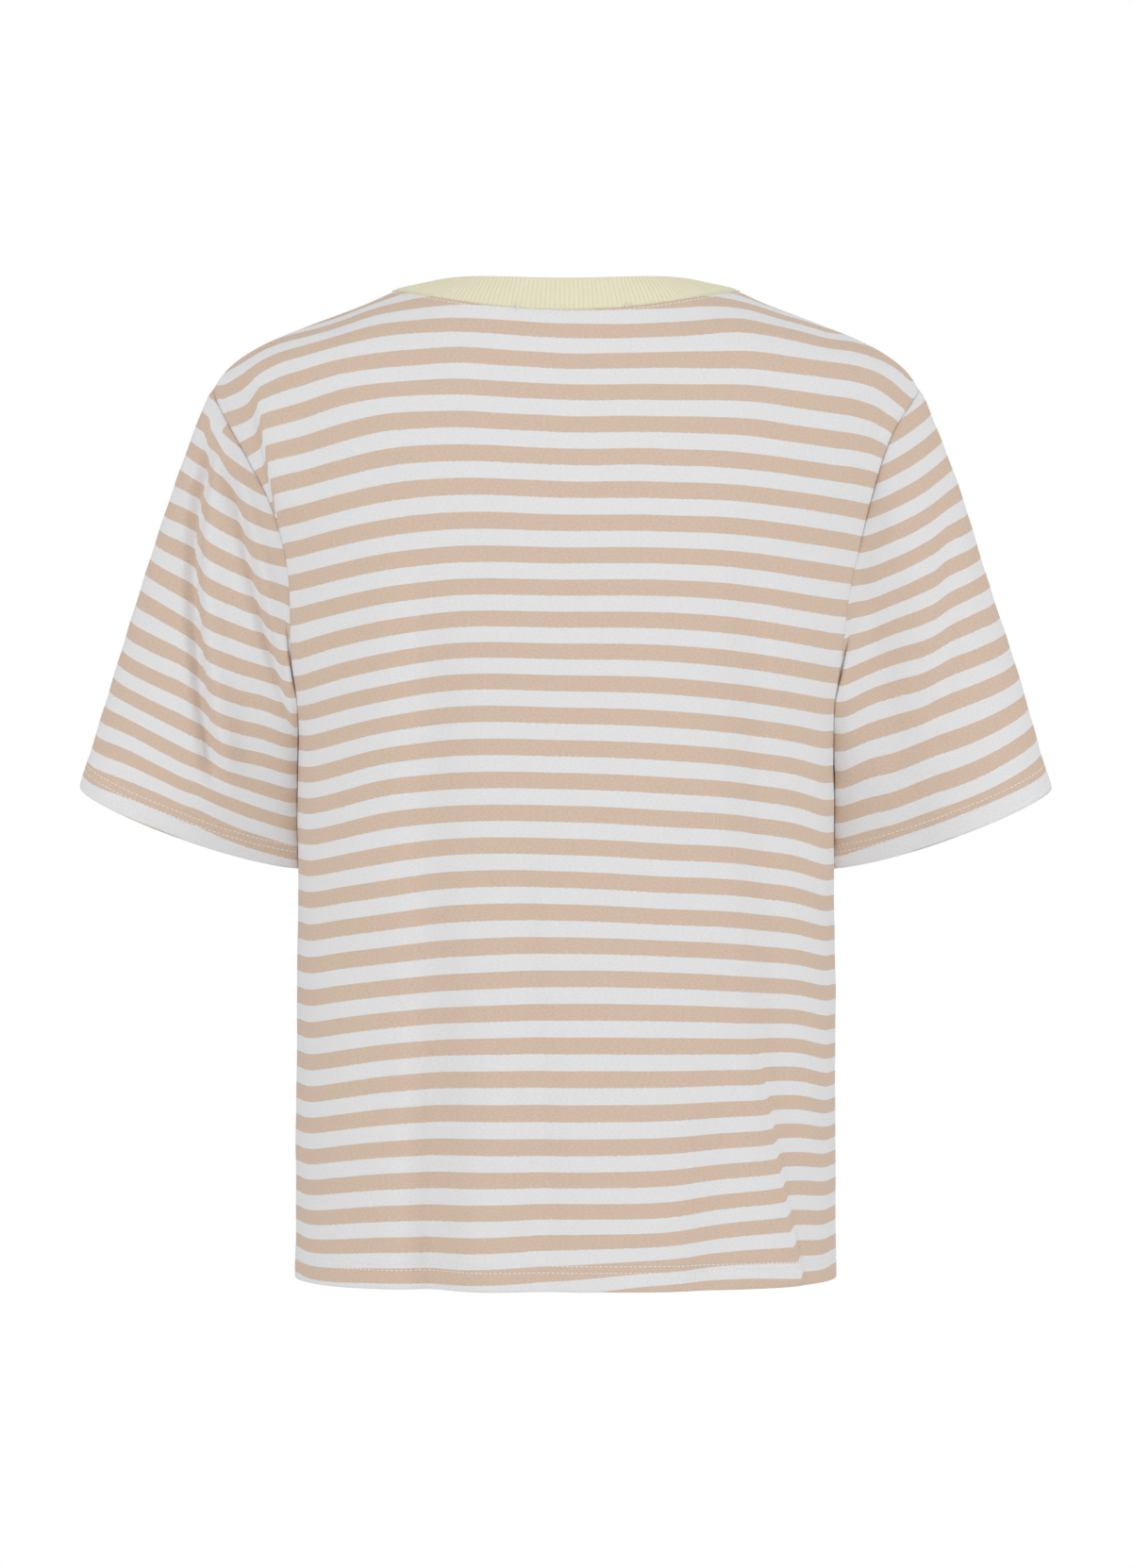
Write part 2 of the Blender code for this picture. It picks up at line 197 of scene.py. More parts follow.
# Soft hanging folds, seen square on: each runs from a top point to a bottom one, is this wide from middle to
# flank, and stands out from the body or, with a negative rise, sinks in.
Fold = namedtuple("Fold", "top_x top_z bottom_x bottom_z width rise")
BACK_FOLDS = (
    Fold(-0.045, -0.300, -0.050, -0.640, 0.022, 0.0030),
    Fold(0.050, -0.330, 0.058, -0.640, 0.026, 0.0025),
    Fold(-0.140, -0.330, -0.143, -0.640, 0.018, 0.0030),
)

# Creases, seen square on: each follows its line of (x, z) points, falls away within a width to its -X side
# and another to its +X side, and fades over a share of its length at each end.
Crease = namedtuple("Crease", "line minus_width plus_width rise fade_in fade_out")
LEFT_BREAK = (
    (-0.1965, -0.055), (-0.1930, -0.076), (-0.1900, -0.088), (-0.1875, -0.100), (-0.1845, -0.114),
    (-0.1826, -0.127), (-0.1807, -0.150),
)
RIGHT_DROP = ((0.120, -0.470), (0.1265, -0.510), (0.1315, -0.550), (0.1375, -0.590), (0.1450, -0.632))


def moved(line, out):
    """The same line, moved sideways."""
    return tuple((x + out, z) for x, z in line)


BACK_CREASES = (
    # Where the cloth breaks beside the left armhole and turns away to its seam.
    Crease(LEFT_BREAK, 0.005, 0.018, 0.0046, 0.5, 0.05),
    Crease(moved(LEFT_BREAK, -0.0075), 0.006, 0.006, -0.0022, 0.5, 0.05),
    # A small hollow against the right armhole.
    Crease(
        ((0.203, -0.078), (0.199, -0.090), (0.196, -0.104), (0.193, -0.122)),
        0.004, 0.003, -0.0016, 0.3, 0.4,
    ),
    # The fold that drops to the right end of the hem, and the soft trough above it.
    Crease(RIGHT_DROP, 0.016, 0.0035, 0.0042, 0.5, 0.05),
    Crease(
        (
            (0.1120, -0.130), (0.1120, -0.206), (0.1125, -0.322), (0.1180, -0.380), (0.1215, -0.438),
            (0.1270, -0.496), (0.1310, -0.545), (0.1370, -0.620),
        ),
        0.009, 0.012, -0.0056, 0.35, 0.25,
    ),
    # A long trough left of the middle, deeper low down, and two slighter ones.
    Crease(
        (
            (-0.0890, -0.130), (-0.0890, -0.180), (-0.0885, -0.240), (-0.0870, -0.340), (-0.0850, -0.395),
            (-0.0840, -0.440), (-0.0840, -0.500), (-0.0860, -0.560), (-0.0880, -0.640),
        ),
        0.013, 0.018, -0.0062, 0.30, 0.01,
    ),
    Crease(
        ((-0.0840, -0.400), (-0.0840, -0.500), (-0.0860, -0.560), (-0.0880, -0.640)),
        0.012, 0.018, -0.0046, 0.5, 0.01,
    ),
    Crease(
        ((-0.027, -0.300), (-0.024, -0.420), (-0.019, -0.500), (-0.015, -0.600), (-0.012, -0.640)),
        0.013, 0.013, -0.0042, 0.4, 0.01,
    ),
    Crease(((0.094, -0.450), (0.090, -0.560), (0.086, -0.640)), 0.013, 0.013, -0.0032, 0.6, 0.01),
)


def fold_lift(folds, x, z):
    """How far soft folds lift the cloth: each fades in from its top and is fullest at the hem."""
    lift = np.zeros_like(x)
    for fold in folds:
        down = np.clip((fold.top_z - z) / (fold.top_z - fold.bottom_z), 0, 1)
        middle = fold.top_x + (fold.bottom_x - fold.top_x) * down
        lift += fold.rise * down * down * (3 - 2 * down) * np.exp(-(((x - middle) / fold.width) ** 2))
    return lift


def beside_line(line, x, z):
    """Distance of points from a line of (x, z) points, signed: negative to its -X side. Also the share of the
    line's length at which each point lies."""
    line = np.array(line)
    lengths = np.linalg.norm(np.diff(line, axis=0), axis=1)
    starts = np.concatenate([[0], np.cumsum(lengths)])
    nearest = np.full(x.shape, np.inf)
    side = np.zeros_like(x)
    share = np.zeros_like(x)
    for i, length in enumerate(lengths):
        step = (line[i + 1] - line[i]) / length
        run = np.clip((x - line[i, 0]) * step[0] + (z - line[i, 1]) * step[1], 0, length)
        off_x = x - line[i, 0] - run * step[0]
        off_z = z - line[i, 1] - run * step[1]
        distance = np.hypot(off_x, off_z)
        closer = distance < nearest
        nearest = np.where(closer, distance, nearest)
        side = np.where(closer, np.sign(off_x * -step[1] + off_z * step[0]), side)
        share = np.where(closer, (starts[i] + run) / starts[-1], share)
    return nearest * side, share


def ease(share):
    share = np.clip(share, 0, 1)
    return share * share * (3 - 2 * share)


def crease_lift(creases, x, z):
    """How far creases lift the cloth."""
    lift = np.zeros_like(x)
    for crease in creases:
        off, share = beside_line(crease.line, x, z)
        width = np.where(off < 0, crease.minus_width, crease.plus_width)
        fade = ease(share / crease.fade_in) * ease((1 - share) / crease.fade_out)
        lift += crease.rise * fade * np.exp(-((off / width) ** 2))
    return lift


# Two waves that cross, each by its steepness across and up and its share of the phase.
LONG_WAVES = ((71, 23, 1), (-31, 43, 2))
SHORT_WAVES = ((137, -61, 3), (0, 97, 2.1))
SHORT_SHARE = 0.6
HANDLING_RISE = 0.0005


def crossed_waves(pair, x, z, phase):
    first, second = [np.sin(across * x + up * z + shift * phase) for across, up, shift in pair]
    return first * second


def handling(x, z, phase):
    """The slight unevenness of cloth that was worn and washed: long waves and shorter ones, out of step."""
    short = SHORT_SHARE * crossed_waves(SHORT_WAVES, x, z, phase)
    return HANDLING_RISE * (crossed_waves(LONG_WAVES, x, z, phase) + short)


# The knitted courses hang a little off level. Each row is a height on the back, then how many millimetres the
# course there rides above level, or below it, at each of these places from the left edge to the right.
COURSE_PLACES = (-0.166, -0.141, -0.117, -0.075, 0.000, 0.058, 0.117, 0.147, 0.166)
BACK_COURSES = (
    (-0.630, -7, -5, -4, -4, 0, 8, 9.5, 6, 4),
    (-0.600, -14, -9, -6, -5, -2, 0, 6, 5.5, 1),
    (-0.550, -18, -11, -7, -4.5, -4, -3, 1, 1.5, -5),
    (-0.500, -19, -12, -7, -3, -2, -2, -2, -3.5, -13),
    (-0.440, -18.5, -11.5, -7.5, -3, 0, -1, -5, -9, -17),
    (-0.380, -17.5, -10.5, -6, 0, 1, -2, -6, -12, -21),
    (-0.320, -19, -11, -4, 1, 1.5, -1, -6, -12, -20),
    (-0.260, -19, -11, -5.5, 1.5, 1.5, 0, -5.5, -10, -14),
    (-0.200, -14.5, -9.5, -5, 0, 0, 0, -3.5, -7.5, -9.5),
    (-0.150, -12.5, -7, -2.5, 1.5, 0, 0, -2, -5, -7),
    (-0.110, -9.5, -3, 2.5, 5.5, 3, 3, 0.5, -3, -5.5),
    (-0.080, -6, 2, 7, 9.5, 6, 6, 5, 1, -2),
    (-0.050, -3, 5, 9, 12.5, 8.5, 9.5, 9.3, 6, 3),
    (-0.030, -2.5, 7, 14, 15.5, 10.5, 11.5, 17, 12, 7),
    (-0.016, -1, 9, 16.5, 17.5, 11, 13.5, 21.5, 14.5, 9),
    (-0.005, -1, 14, 21, 19.5, 11, 15, 25, 18, 10),
)
LEVEL_COURSE = -0.1500
FIRST_STRIPE = 0.1132
RUN_STEPS = 33

# Out over the shoulders the courses drop further, by these millimetres at these places.
SHOULDER_PLACES = (-0.216, -0.203, -0.190, -0.178, -0.166, 0.166, 0.184, 0.197, 0.207, 0.218)
SHOULDER_COURSES = (
    (-0.260, 0, 0, 0, 0, 0, 0, 0, 0, 0, 0),
    (-0.200, -6, -4, -2, -1, 0, 0, -1, -2, -3, -4),
    (-0.150, -11, -8, -4.5, -2, 0, 0, -2, -4, -8, -12),
    (-0.110, -14.5, -12.5, -6, -2.7, 0, 0, -1.3, -4, -10.5, -16),
    (-0.080, -20.5, -16, -7.5, -3.2, 0, 0, -2, -5.5, -11, -18),
    (-0.050, -30, -21, -10.3, -3.6, 0, 0, -1.5, -5, -10, -18),
    (-0.030, -39, -29, -15, -7, 0, 0, -3, -8, -13, -19),
)


def course_ride(places, courses, across, up):
    """How far courses ride above level, in metres, from rows of (level, then millimetres at each place)."""
    levels = [course[0] for course in courses]
    columns = [smooth_curve(levels, [course[i] for course in courses], up) for i in range(1, len(courses[0]))]
    return smooth_curve(places, np.stack(columns, axis=-1), across) / 1000


def flat_height(panel, courses, x, z):
    """The height of points on the cloth laid flat; the middle of beige stripe n is at -20 mm times n."""
    steps = np.linspace(0, 1, RUN_STEPS)
    heights = LEVEL_COURSE + (z[..., None] - LEVEL_COURSE) * steps
    depths = depth_at(panel, np.clip(x, COURSE_PLACES[0], COURSE_PLACES[-1])[..., None], heights)
    run = np.hypot(np.diff(heights), np.diff(depths)).sum(axis=-1) * np.sign(z - LEVEL_COURSE)
    beyond = np.where(np.abs(x) > COURSE_PLACES[-1], course_ride(SHOULDER_PLACES, SHOULDER_COURSES, x, z), 0)
    return run - course_ride(COURSE_PLACES, courses, x, z) - beyond - FIRST_STRIPE


# Where a fold hides some cloth, the courses step: beyond the line, towards -X or +X, they lie lower by what is
# hidden. The step opens over a width, and grows and fades over shares of the line's length.
Tuck = namedtuple("Tuck", "line towards hidden width grow fade")
BACK_TUCKS = (
    Tuck(LEFT_BREAK, -1, 0.0145, 0.0014, 1.0, 0.01),
    Tuck(RIGHT_DROP, 1, -0.0040, 0.0020, 0.6, 0.01),
)


def tuck_shift(tucks, x, z):
    """How far the courses step down beyond tucks."""
    shift = np.zeros_like(x)
    for tuck in tucks:
        off, share = beside_line(tuck.line, x, z)
        size = np.clip(share / tuck.grow, 0, 1) * ease((1 - share) / tuck.fade)
        shift += tuck.hidden * size * ease(tuck.towards * off / tuck.width + 0.5)
    return shift


def run_across(grid):
    """Distance along each row of a grid from its middle column."""
    steps = np.linalg.norm(np.diff(grid, axis=1), axis=-1)
    run = np.concatenate([np.zeros((len(grid), 1)), np.cumsum(steps, axis=1)], axis=1)
    return run - run[:, run.shape[1] // 2, None]


CLOTH_WALL = 0.0009
HEM_TURN_UP = 0.0160
HEM_BEND = 0.0007
HEM_SWELL = 0.00030
HEM_SWELL_FADE = 0.0030
NEEDLE_ROWS = (0.0107, 0.0147)
NEEDLE_DENT = 0.00045
NEEDLE_DENT_WIDTH = 0.0009
SEAM_SINK = 0.0007
SEAM_WIDTH = 0.0026

# The mesh rows of a hem: so many inside, from its raw edge down, then round the bend at these angles, then so
# many outside, close together.
RAW_ROWS = 9
LOWEST_RAW_ROW = 0.001
BEND_ANGLES = np.radians([0, 30, 60, 90, 120, 150])
HEM_ROWS = 16
HEM_ROW_STEP = 0.0012


def hem_rows():
    """Rows of a hem from its raw edge inside, round the fold and up the outside: how far each lies above the
    fold, and how far in from the outer layer."""
    raw = np.linspace(HEM_TURN_UP, LOWEST_RAW_ROW, RAW_ROWS)
    outside = np.arange(HEM_ROWS) * HEM_ROW_STEP
    above = np.concatenate([raw, -HEM_BEND * np.sin(BEND_ANGLES), outside])
    bent_in = HEM_BEND * (1 + np.cos(BEND_ANGLES))
    return above, np.concatenate([np.full(RAW_ROWS, 2 * HEM_BEND), bent_in, np.zeros(HEM_ROWS)])


def hem_relief(above):
    """The turned-up edge swells a hem a little, and the needle rows press it in."""
    pressed = sum(np.exp(-(((above - row) / NEEDLE_DENT_WIDTH) ** 2)) for row in NEEDLE_ROWS)
    return HEM_SWELL * ease((HEM_TURN_UP - above) / HEM_SWELL_FADE + 1) - NEEDLE_DENT * pressed


def needle_lines(grid, normals):
    """The lines on the finished cloth that a hem's two needles follow, with the way the cloth faces there."""
    lines = []
    for row in NEEDLE_ROWS:
        step, share = divmod(row / HEM_ROW_STEP, 1)
        low = RAW_ROWS + len(BEND_ANGLES) + int(step)
        facing = normals[low]
        lines.append((grid[low] * (1 - share) + grid[low + 1] * share + facing * CLOTH_WALL / 2, facing))
    return lines


def seam_sink(distance):
    """How deep cloth sinks at a distance from a seam."""
    return SEAM_SINK * np.exp(-((distance / SEAM_WIDTH) ** 2))


def new_piece(name, points, faces, flat_cut, material):
    """A smooth-shaded mesh in the scene, with the place of each face's corners on the flat cut, in metres."""
    mesh = bpy.data.meshes.new(name)
    mesh.from_pydata(points.tolist(), [], faces)
    mesh.uv_layers.new(name="flat_cut").data.foreach_set("uv", np.asarray(flat_cut).reshape(-1))
    mesh.materials.append(material)
    mesh.shade_smooth()
    piece = bpy.data.objects.new(name, mesh)
    bpy.context.scene.collection.objects.link(piece)
    return piece


def make_cloth(name, grid, flat, closed):
    """Striped jersey of two faces round a grid of points. flat is the place of each on the flat cut, with one
    column more for a closed grid."""
    rows, columns = grid.shape[:2]
    half_wall = grid_normals(grid, closed) * CLOTH_WALL / 2
    points = np.concatenate([(grid + half_wall).reshape(-1, 3), (grid - half_wall).reshape(-1, 3)])
    last = columns if closed else columns - 1
    row, column = np.indices((rows - 1, last)).reshape(2, -1)
    after, up = (column + 1) % columns, row + 1
    corners = ((row, column, column), (row, after, column + 1), (up, after, column + 1), (up, column, column))
    outer = np.stack([r * columns + c for r, c, _ in corners], axis=1)
    outer_flat = np.stack([flat[r, f] for r, _, f in corners], axis=1)
    inner = outer[:, ::-1] + rows * columns
    rims = [((0, c + 1), (0, c)) for c in range(last)]
    rims += [((rows - 1, c), (rows - 1, c + 1)) for c in range(last)]
    if not closed:
        rims += [((r, 0), (r + 1, 0)) for r in range(rows - 1)]
        rims += [((r + 1, columns - 1), (r, columns - 1)) for r in range(rows - 1)]
    rim_faces = []
    rim_flat = []
    for (r1, c1), (r2, c2) in rims:
        a, b = r1 * columns + c1 % columns, r2 * columns + c2 % columns
        rim_faces.append((a, b, b + rows * columns, a + rows * columns))
        rim_flat.append((flat[r1, c1], flat[r2, c2], flat[r2, c2], flat[r1, c1]))
    faces = np.concatenate([outer, inner, np.array(rim_faces)])
    flat_cut = np.concatenate([outer_flat, outer_flat[:, ::-1], np.array(rim_flat)])
    return new_piece(name, points, faces.tolist(), flat_cut, striped_jersey)


class Wiring:
    """Short ways to place and join shader nodes in one tree."""

    def __init__(self, tree):
        self.tree = tree

    def plug(self, value, socket):
        if isinstance(value, bpy.types.NodeSocket):
            self.tree.links.new(value, socket)
        else:
            socket.default_value = value

    def node(self, kind, output, values, **settings):
        """A node with these settings and with values plugged into its named or numbered inputs."""
        node = self.tree.nodes.new("ShaderNode" + kind)
        for label, setting in settings.items():
            setattr(node, label, setting)
        for label, value in values.items():
            self.plug(value, node.inputs[label])
        return node.outputs[output]

    def math(self, operation, *values):
        return self.node("Math", "Value", dict(enumerate(values)), operation=operation)

    def linear(self, value, factor, offset):
        return self.math("MULTIPLY_ADD", value, factor, offset)

    def smooth_step(self, value, start, end):
        values = {"Value": value, "From Min": start, "From Max": end}
        return self.node("MapRange", "Result", values, interpolation_type="SMOOTHSTEP")

    def mix(self, share, first, second):
        return self.node("Mix", "Result", {"Factor": share, "A": first, "B": second}, data_type="RGBA")

    def stretch(self, vector, factors):
        return self.node("VectorMath", "Vector", {0: vector, 1: factors}, operation="MULTIPLY")

    def shaded(self, colour, shade):
        return self.node("VectorMath", "Vector", {"Vector": colour, "Scale": shade}, operation="SCALE")

    def noise(self, vector, size, detail):
        scale = self.math("DIVIDE", 1.0, size)
        return self.node("TexNoise", "Fac", {"Vector": vector, "Scale": scale, "Detail": detail})

    def split(self, vector):
        across = self.node("SeparateXYZ", "X", {"Vector": vector})
        return across, across.node.outputs["Y"]

    def group(self, group, **values):
        node = self.tree.nodes.new("ShaderNodeGroup")
        node.node_tree = group
        for label, value in values.items():
            self.plug(value, node.inputs[label.replace("_", " ")])
        return node.outputs


def new_group(name, inputs, outputs):
    """An empty shader group. It takes the flat cut and numbers with start values, and puts out numbers."""
    group = bpy.data.node_groups.new(name, "ShaderNodeTree")
    group.interface.new_socket(name="Cut", in_out="INPUT", socket_type="NodeSocketVector")
    for label, start in inputs.items():
        socket = group.interface.new_socket(name=label, in_out="INPUT", socket_type="NodeSocketFloat")
        socket.default_value = start
    for label in outputs:
        group.interface.new_socket(name=label, in_out="OUTPUT", socket_type="NodeSocketFloat")
    return Wiring(group), group.nodes.new("NodeGroupInput").outputs, group.nodes.new("NodeGroupOutput").inputs


def spun_cotton_group():
    """The uneven thickness and colour of spun cotton yarn, and its fine fuzz. Slubs lie along the courses."""
    wire, given, result = new_group("spun_cotton", {"Slub Size": 0.004, "Fuzz Size": 0.0004}, ("Shade", "Fuzz"))
    slub_stretch, slub_share, fuzz_share = (0.45, 1.0, 1.0), 0.6, 0.4
    slub = wire.noise(wire.stretch(given["Cut"], slub_stretch), given["Slub Size"], 3.0)
    fuzz = wire.noise(given["Cut"], given["Fuzz Size"], 2.0)
    wire.plug(wire.linear(slub, slub_share, wire.math("MULTIPLY", fuzz, fuzz_share)), result["Shade"])
    wire.plug(fuzz, result["Fuzz"])
    return wire.tree


def jersey_stitches_group():
    """Single jersey: columns of small V-shaped stitches, wale by wale and course by course."""
    wire, given, result = new_group("jersey_stitches", {"Wale": 0.00095, "Course": 0.00075}, ("Height", "Gap"))
    v_steepness, loop_rounding, gap_depth = 1.4, 1.3, 0.45
    across, up = wire.split(given["Cut"])
    wale = wire.math("FRACT", wire.math("DIVIDE", across, given["Wale"]))
    from_middle = wire.math("ABSOLUTE", wire.math("SUBTRACT", wale, 0.5))
    course = wire.linear(from_middle, v_steepness, wire.math("DIVIDE", up, given["Course"]))
    loop = wire.math("ABSOLUTE", wire.math("SUBTRACT", wire.math("FRACT", course), 0.5))
    half_wale = wire.math("FRACT", wire.math("MULTIPLY", wale, 2.0))
    leg = wire.math("SINE", wire.math("MULTIPLY", half_wale, math.pi))
    height = wire.math("MULTIPLY", leg, wire.linear(loop, -loop_rounding, 1.0))
    wire.plug(height, result["Height"])
    wire.plug(wire.smooth_step(height, gap_depth, 0.0), result["Gap"])
    return wire.tree


spun_cotton = spun_cotton_group()
jersey_stitches = jersey_stitches_group()


def cotton_material(name):
    """A new material, short ways to wire it, and its place on the flat cut."""
    material = bpy.data.materials.new(name)
    material.use_nodes = True
    wire = Wiring(material.node_tree)
    return material, wire, wire.node("UVMap", "UV", {}, uv_map="flat_cut")


def finish_cotton(wire, colour, roughness, relief, bump_strength, bump_distance):
    """Join a cotton's colour, roughness and relief to its shader."""
    shader = wire.tree.nodes["Principled BSDF"]
    bump = {"Height": relief, "Strength": bump_strength, "Distance": bump_distance}
    wire.plug(colour, shader.inputs["Base Color"])
    wire.plug(roughness, shader.inputs["Roughness"])
    wire.plug(wire.node("Bump", "Normal", bump), shader.inputs["Normal"])
    return shader


def add_bloom(shader):
    """The matt bloom of washed knit."""
    for label, value in (("Specular IOR Level", 0.25), ("Sheen Weight", 0.10), ("Sheen Roughness", 0.5)):
        shader.inputs[label].default_value = value


WHITE_YARN = (0.800, 0.796, 0.800, 1.0)
BEIGE_YARN = (0.682, 0.523, 0.410, 1.0)
STRIPE_PITCH = 0.0200
STRIPE_WANDER = 0.0016
STRIPE_EDGE = (0.238, 0.262)
YARN_UNEVENNESS = 0.35
DYED_UNEVENNESS = 0.25
GAP_PAINTED_SHADE = 0.10


def striped_jersey_material():
    """White and beige stripes of 10 mm, knitted in, with painted shade in the gaps between stitches and the
    matt bloom of washed cotton.
    """
    material, wire, cut = cotton_material("striped_jersey")
    cotton = wire.group(spun_cotton, Cut=cut, Slub_Size=0.0009, Fuzz_Size=0.0004)
    knit = wire.group(jersey_stitches, Cut=cut)
    # A stripe's edge is one course of V stitches, so it is a fine zigzag and never quite straight.
    _, up = wire.split(cut)
    wander = wire.math("MULTIPLY", wire.math("SUBTRACT", cotton["Shade"], 0.5), STRIPE_WANDER)
    place = wire.math("DIVIDE", wire.math("ADD", up, wander), STRIPE_PITCH)
    from_white = wire.math("ABSOLUTE", wire.math("SUBTRACT", wire.math("FRACT", place), 0.5))
    beige_share = wire.smooth_step(from_white, *STRIPE_EDGE)
    # The dyed yarn is a little uneven, the white one less.
    uneven = wire.linear(beige_share, DYED_UNEVENNESS, YARN_UNEVENNESS)
    shade = wire.linear(wire.math("SUBTRACT", 0.5, cotton["Shade"]), uneven, 1.0)
    # Shade painted into the colour: the gaps between the stitch loops are made darker.
    shade = wire.linear(knit["Gap"], -GAP_PAINTED_SHADE, shade)
    colour = wire.shaded(wire.mix(beige_share, WHITE_YARN, BEIGE_YARN), shade)
    relief = wire.linear(cotton["Fuzz"], 0.5, knit["Height"])
    roughness = wire.linear(cotton["Fuzz"], 0.15, 0.80)
    add_bloom(finish_cotton(wire, colour, roughness, relief, bump_strength=0.35, bump_distance=0.00025))
    return material


striped_jersey = striped_jersey_material()

STRIP_HEIGHT = (UNDERARM_HEIGHT - HEM_HEIGHT) / SIDE_SEAM_STRIPS

# The mesh of a panel: rows above the hem's, rows above the underarm, and columns. Near the neck and the side
# seams they are closer, at these climbs under the neck and these shares in from the sides.
LOWEST_OPEN_ROW = 0.022
LOWER_ROWS = 74
UPPER_ROWS = 104
UNDER_NECK = (0.80, 0.55, 0.35, 0.20, 0.10, 0.0)
PANEL_COLUMNS = 200
NEAR_SIDES = (0, 0.004, 0.009, 0.015, 0.022, 0.030)

# Folds and creases fade out over these distances from the seams.
SEAM_HOLD = 0.020
NECK_HOLD = 0.030


def close_to_ends(low, high, count, near):
    """Even places from low to high, with closer ones at both ends."""
    inner = np.linspace(low + near[-1], high - near[-1], count)
    return np.concatenate([low + np.array(near[:-1]), inner, high - np.array(near[:-1])[::-1]])


def panel_rows():
    """The climb of each row of a panel from its raw hem edge to its neck, and how far in the row lies."""
    above, inward = hem_rows()
    lower = np.linspace(LOWEST_OPEN_ROW, UNDERARM_HEIGHT - HEM_HEIGHT, LOWER_ROWS)[:-1]
    upper = np.linspace(SIDE_SEAM_STRIPS, NECK_CLIMB - UNDER_NECK[0], UPPER_ROWS)
    below_armhole = np.concatenate([above, lower]) / STRIP_HEIGHT
    climb = np.concatenate([below_armhole, upper, NECK_CLIMB - np.array(UNDER_NECK[1:])])
    return climb, np.concatenate([inward, np.zeros(len(climb) - len(inward))])


def panel_normals(panel, smooth, climb, share):
    """Which way the outside of a panel faces. The rows inside its hem face as the ones they lie behind."""
    level, step = np.maximum(climb, 0), 0.02
    rise = panel_points(panel, level + step, share) - panel_points(panel, level - step, share)
    normals = np.cross(np.gradient(smooth, axis=1), rise)
    return normals / (np.maximum(np.linalg.norm(normals, axis=-1, keepdims=True), 1e-12) * -panel.side)


def panel_cloth(name, panel, folds, creases, courses, phase, tucks=()):
    """The panel's cloth, with its folds, its turned-up hem and its edges sunk at the seams."""
    climb, inward = panel_rows()
    share = close_to_ends(-1, 1, PANEL_COLUMNS, NEAR_SIDES)
    smooth = panel_points(panel, climb, share)
    normals = panel_normals(panel, smooth, climb, share)
    x, z = smooth[..., 0], smooth[..., 2]
    across = run_across(smooth)
    from_side = np.minimum(across - across[:, :1], across[:, -1:] - across)
    to_neck = np.linalg.norm(smooth - smooth[-1], axis=-1)
    lift = fold_lift(folds, x, z) + crease_lift(creases, x, z) + handling(x, z, phase)
    lift *= ease(from_side / SEAM_HOLD) * ease(to_neck / NECK_HOLD)
    lift += hem_relief(np.abs(z - HEM_HEIGHT)) - seam_sink(from_side) - seam_sink(to_neck)
    grid = smooth + normals * (lift - inward[:, None])[..., None]
    flat = np.stack([across, flat_height(panel, courses, x, z) + tuck_shift(tucks, x, z)], axis=-1)
    hem = needle_lines(grid, normals)
    if panel.side > 0:
        grid, flat = grid[:, ::-1], flat[:, ::-1]
    return make_cloth(name, grid, flat, closed=False), hem


back_panel, back_hem = panel_cloth(
    "back_panel_cloth", BACK, BACK_FOLDS, BACK_CREASES, BACK_COURSES, phase=0.4, tucks=BACK_TUCKS
)
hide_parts("back_panel")
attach(back_panel, "root")

# ----------------------------------------------------------------------------------------------- front panel
# The front of the body, of the same jersey, cut a little fuller and with a deeper round neck, and sewn to the
# back at the shoulders and the sides. It hangs as the back does, with soft folds of its own.

FRONT = Panel(+1, "front_depth", "front_hollow", 0.060, -0.1300, -0.0950, 1.0)
FRONT_FOLDS = (
    Fold(-0.075, -0.200, -0.092, -0.640, 0.022, -0.0045),
    Fold(-0.020, -0.300, -0.030, -0.640, 0.024, 0.0035),
    Fold(0.040, -0.260, 0.052, -0.640, 0.022, -0.0040),
    Fold(0.100, -0.240, 0.112, -0.640, 0.024, 0.0035),
)
FRONT_CREASES = (
    Crease(
        ((-0.188, -0.100), (-0.178, -0.130), (-0.168, -0.165), (-0.160, -0.200)),
        0.008, 0.016, 0.0030, 0.3, 0.5,
    ),
    Crease(
        ((0.190, -0.095), (0.181, -0.125), (0.172, -0.160), (0.166, -0.190)),
        0.015, 0.008, 0.0026, 0.3, 0.5,
    ),
    Crease(
        ((-0.110, -0.450), (-0.118, -0.510), (-0.127, -0.570), (-0.138, -0.632)),
        0.006, 0.014, 0.0038, 0.4, 0.05,
    ),
)
FRONT_COURSES = (
    (-0.630, 5, 3, 2, 0, 0, 0, 1, 2, 3),
    (-0.500, -11, -6, -3, -1, 0, -1, -3, -7, -10),
    (-0.380, -17, -10, -5, 0, 1, 0, -5, -10, -17),
    (-0.260, -16, -9, -4, 1, 2, 1, -4, -9, -14),
    (-0.150, -9, -5, -2, 1, 1, 1, -2, -5, -8),
    (-0.080, -4, 1, 3, 3, 3, 3, 3, 1, -3),
    (-0.030, 1, 5, 7, 7, 7, 7, 7, 5, 2),
)
front_panel, front_hem = panel_cloth(
    "front_panel_cloth", FRONT, FRONT_FOLDS, FRONT_CREASES, FRONT_COURSES, phase=1.9
)
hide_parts("front_panel")
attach(front_panel, "root")

# ------------------------------------------------------------------------------------------------ hem stitches
# The two needle rows that hold the body's hem, run on the outside in white cotton thread as separate stitches
# of 3 mm. The cuffs and the neck seam are sewn with the same thread.

STITCH_PITCH = 0.0030
STITCH_LENGTH = 0.0024
THREAD_RADIUS = 0.00030
THREAD_SIDES = 6
THREAD_TAPER = 0.35
FIRST_STITCH = 0.0004
STITCH_ARCH = (-0.00028, -0.00004, 0.00008, 0.00010, 0.00008, -0.00004, -0.00028)


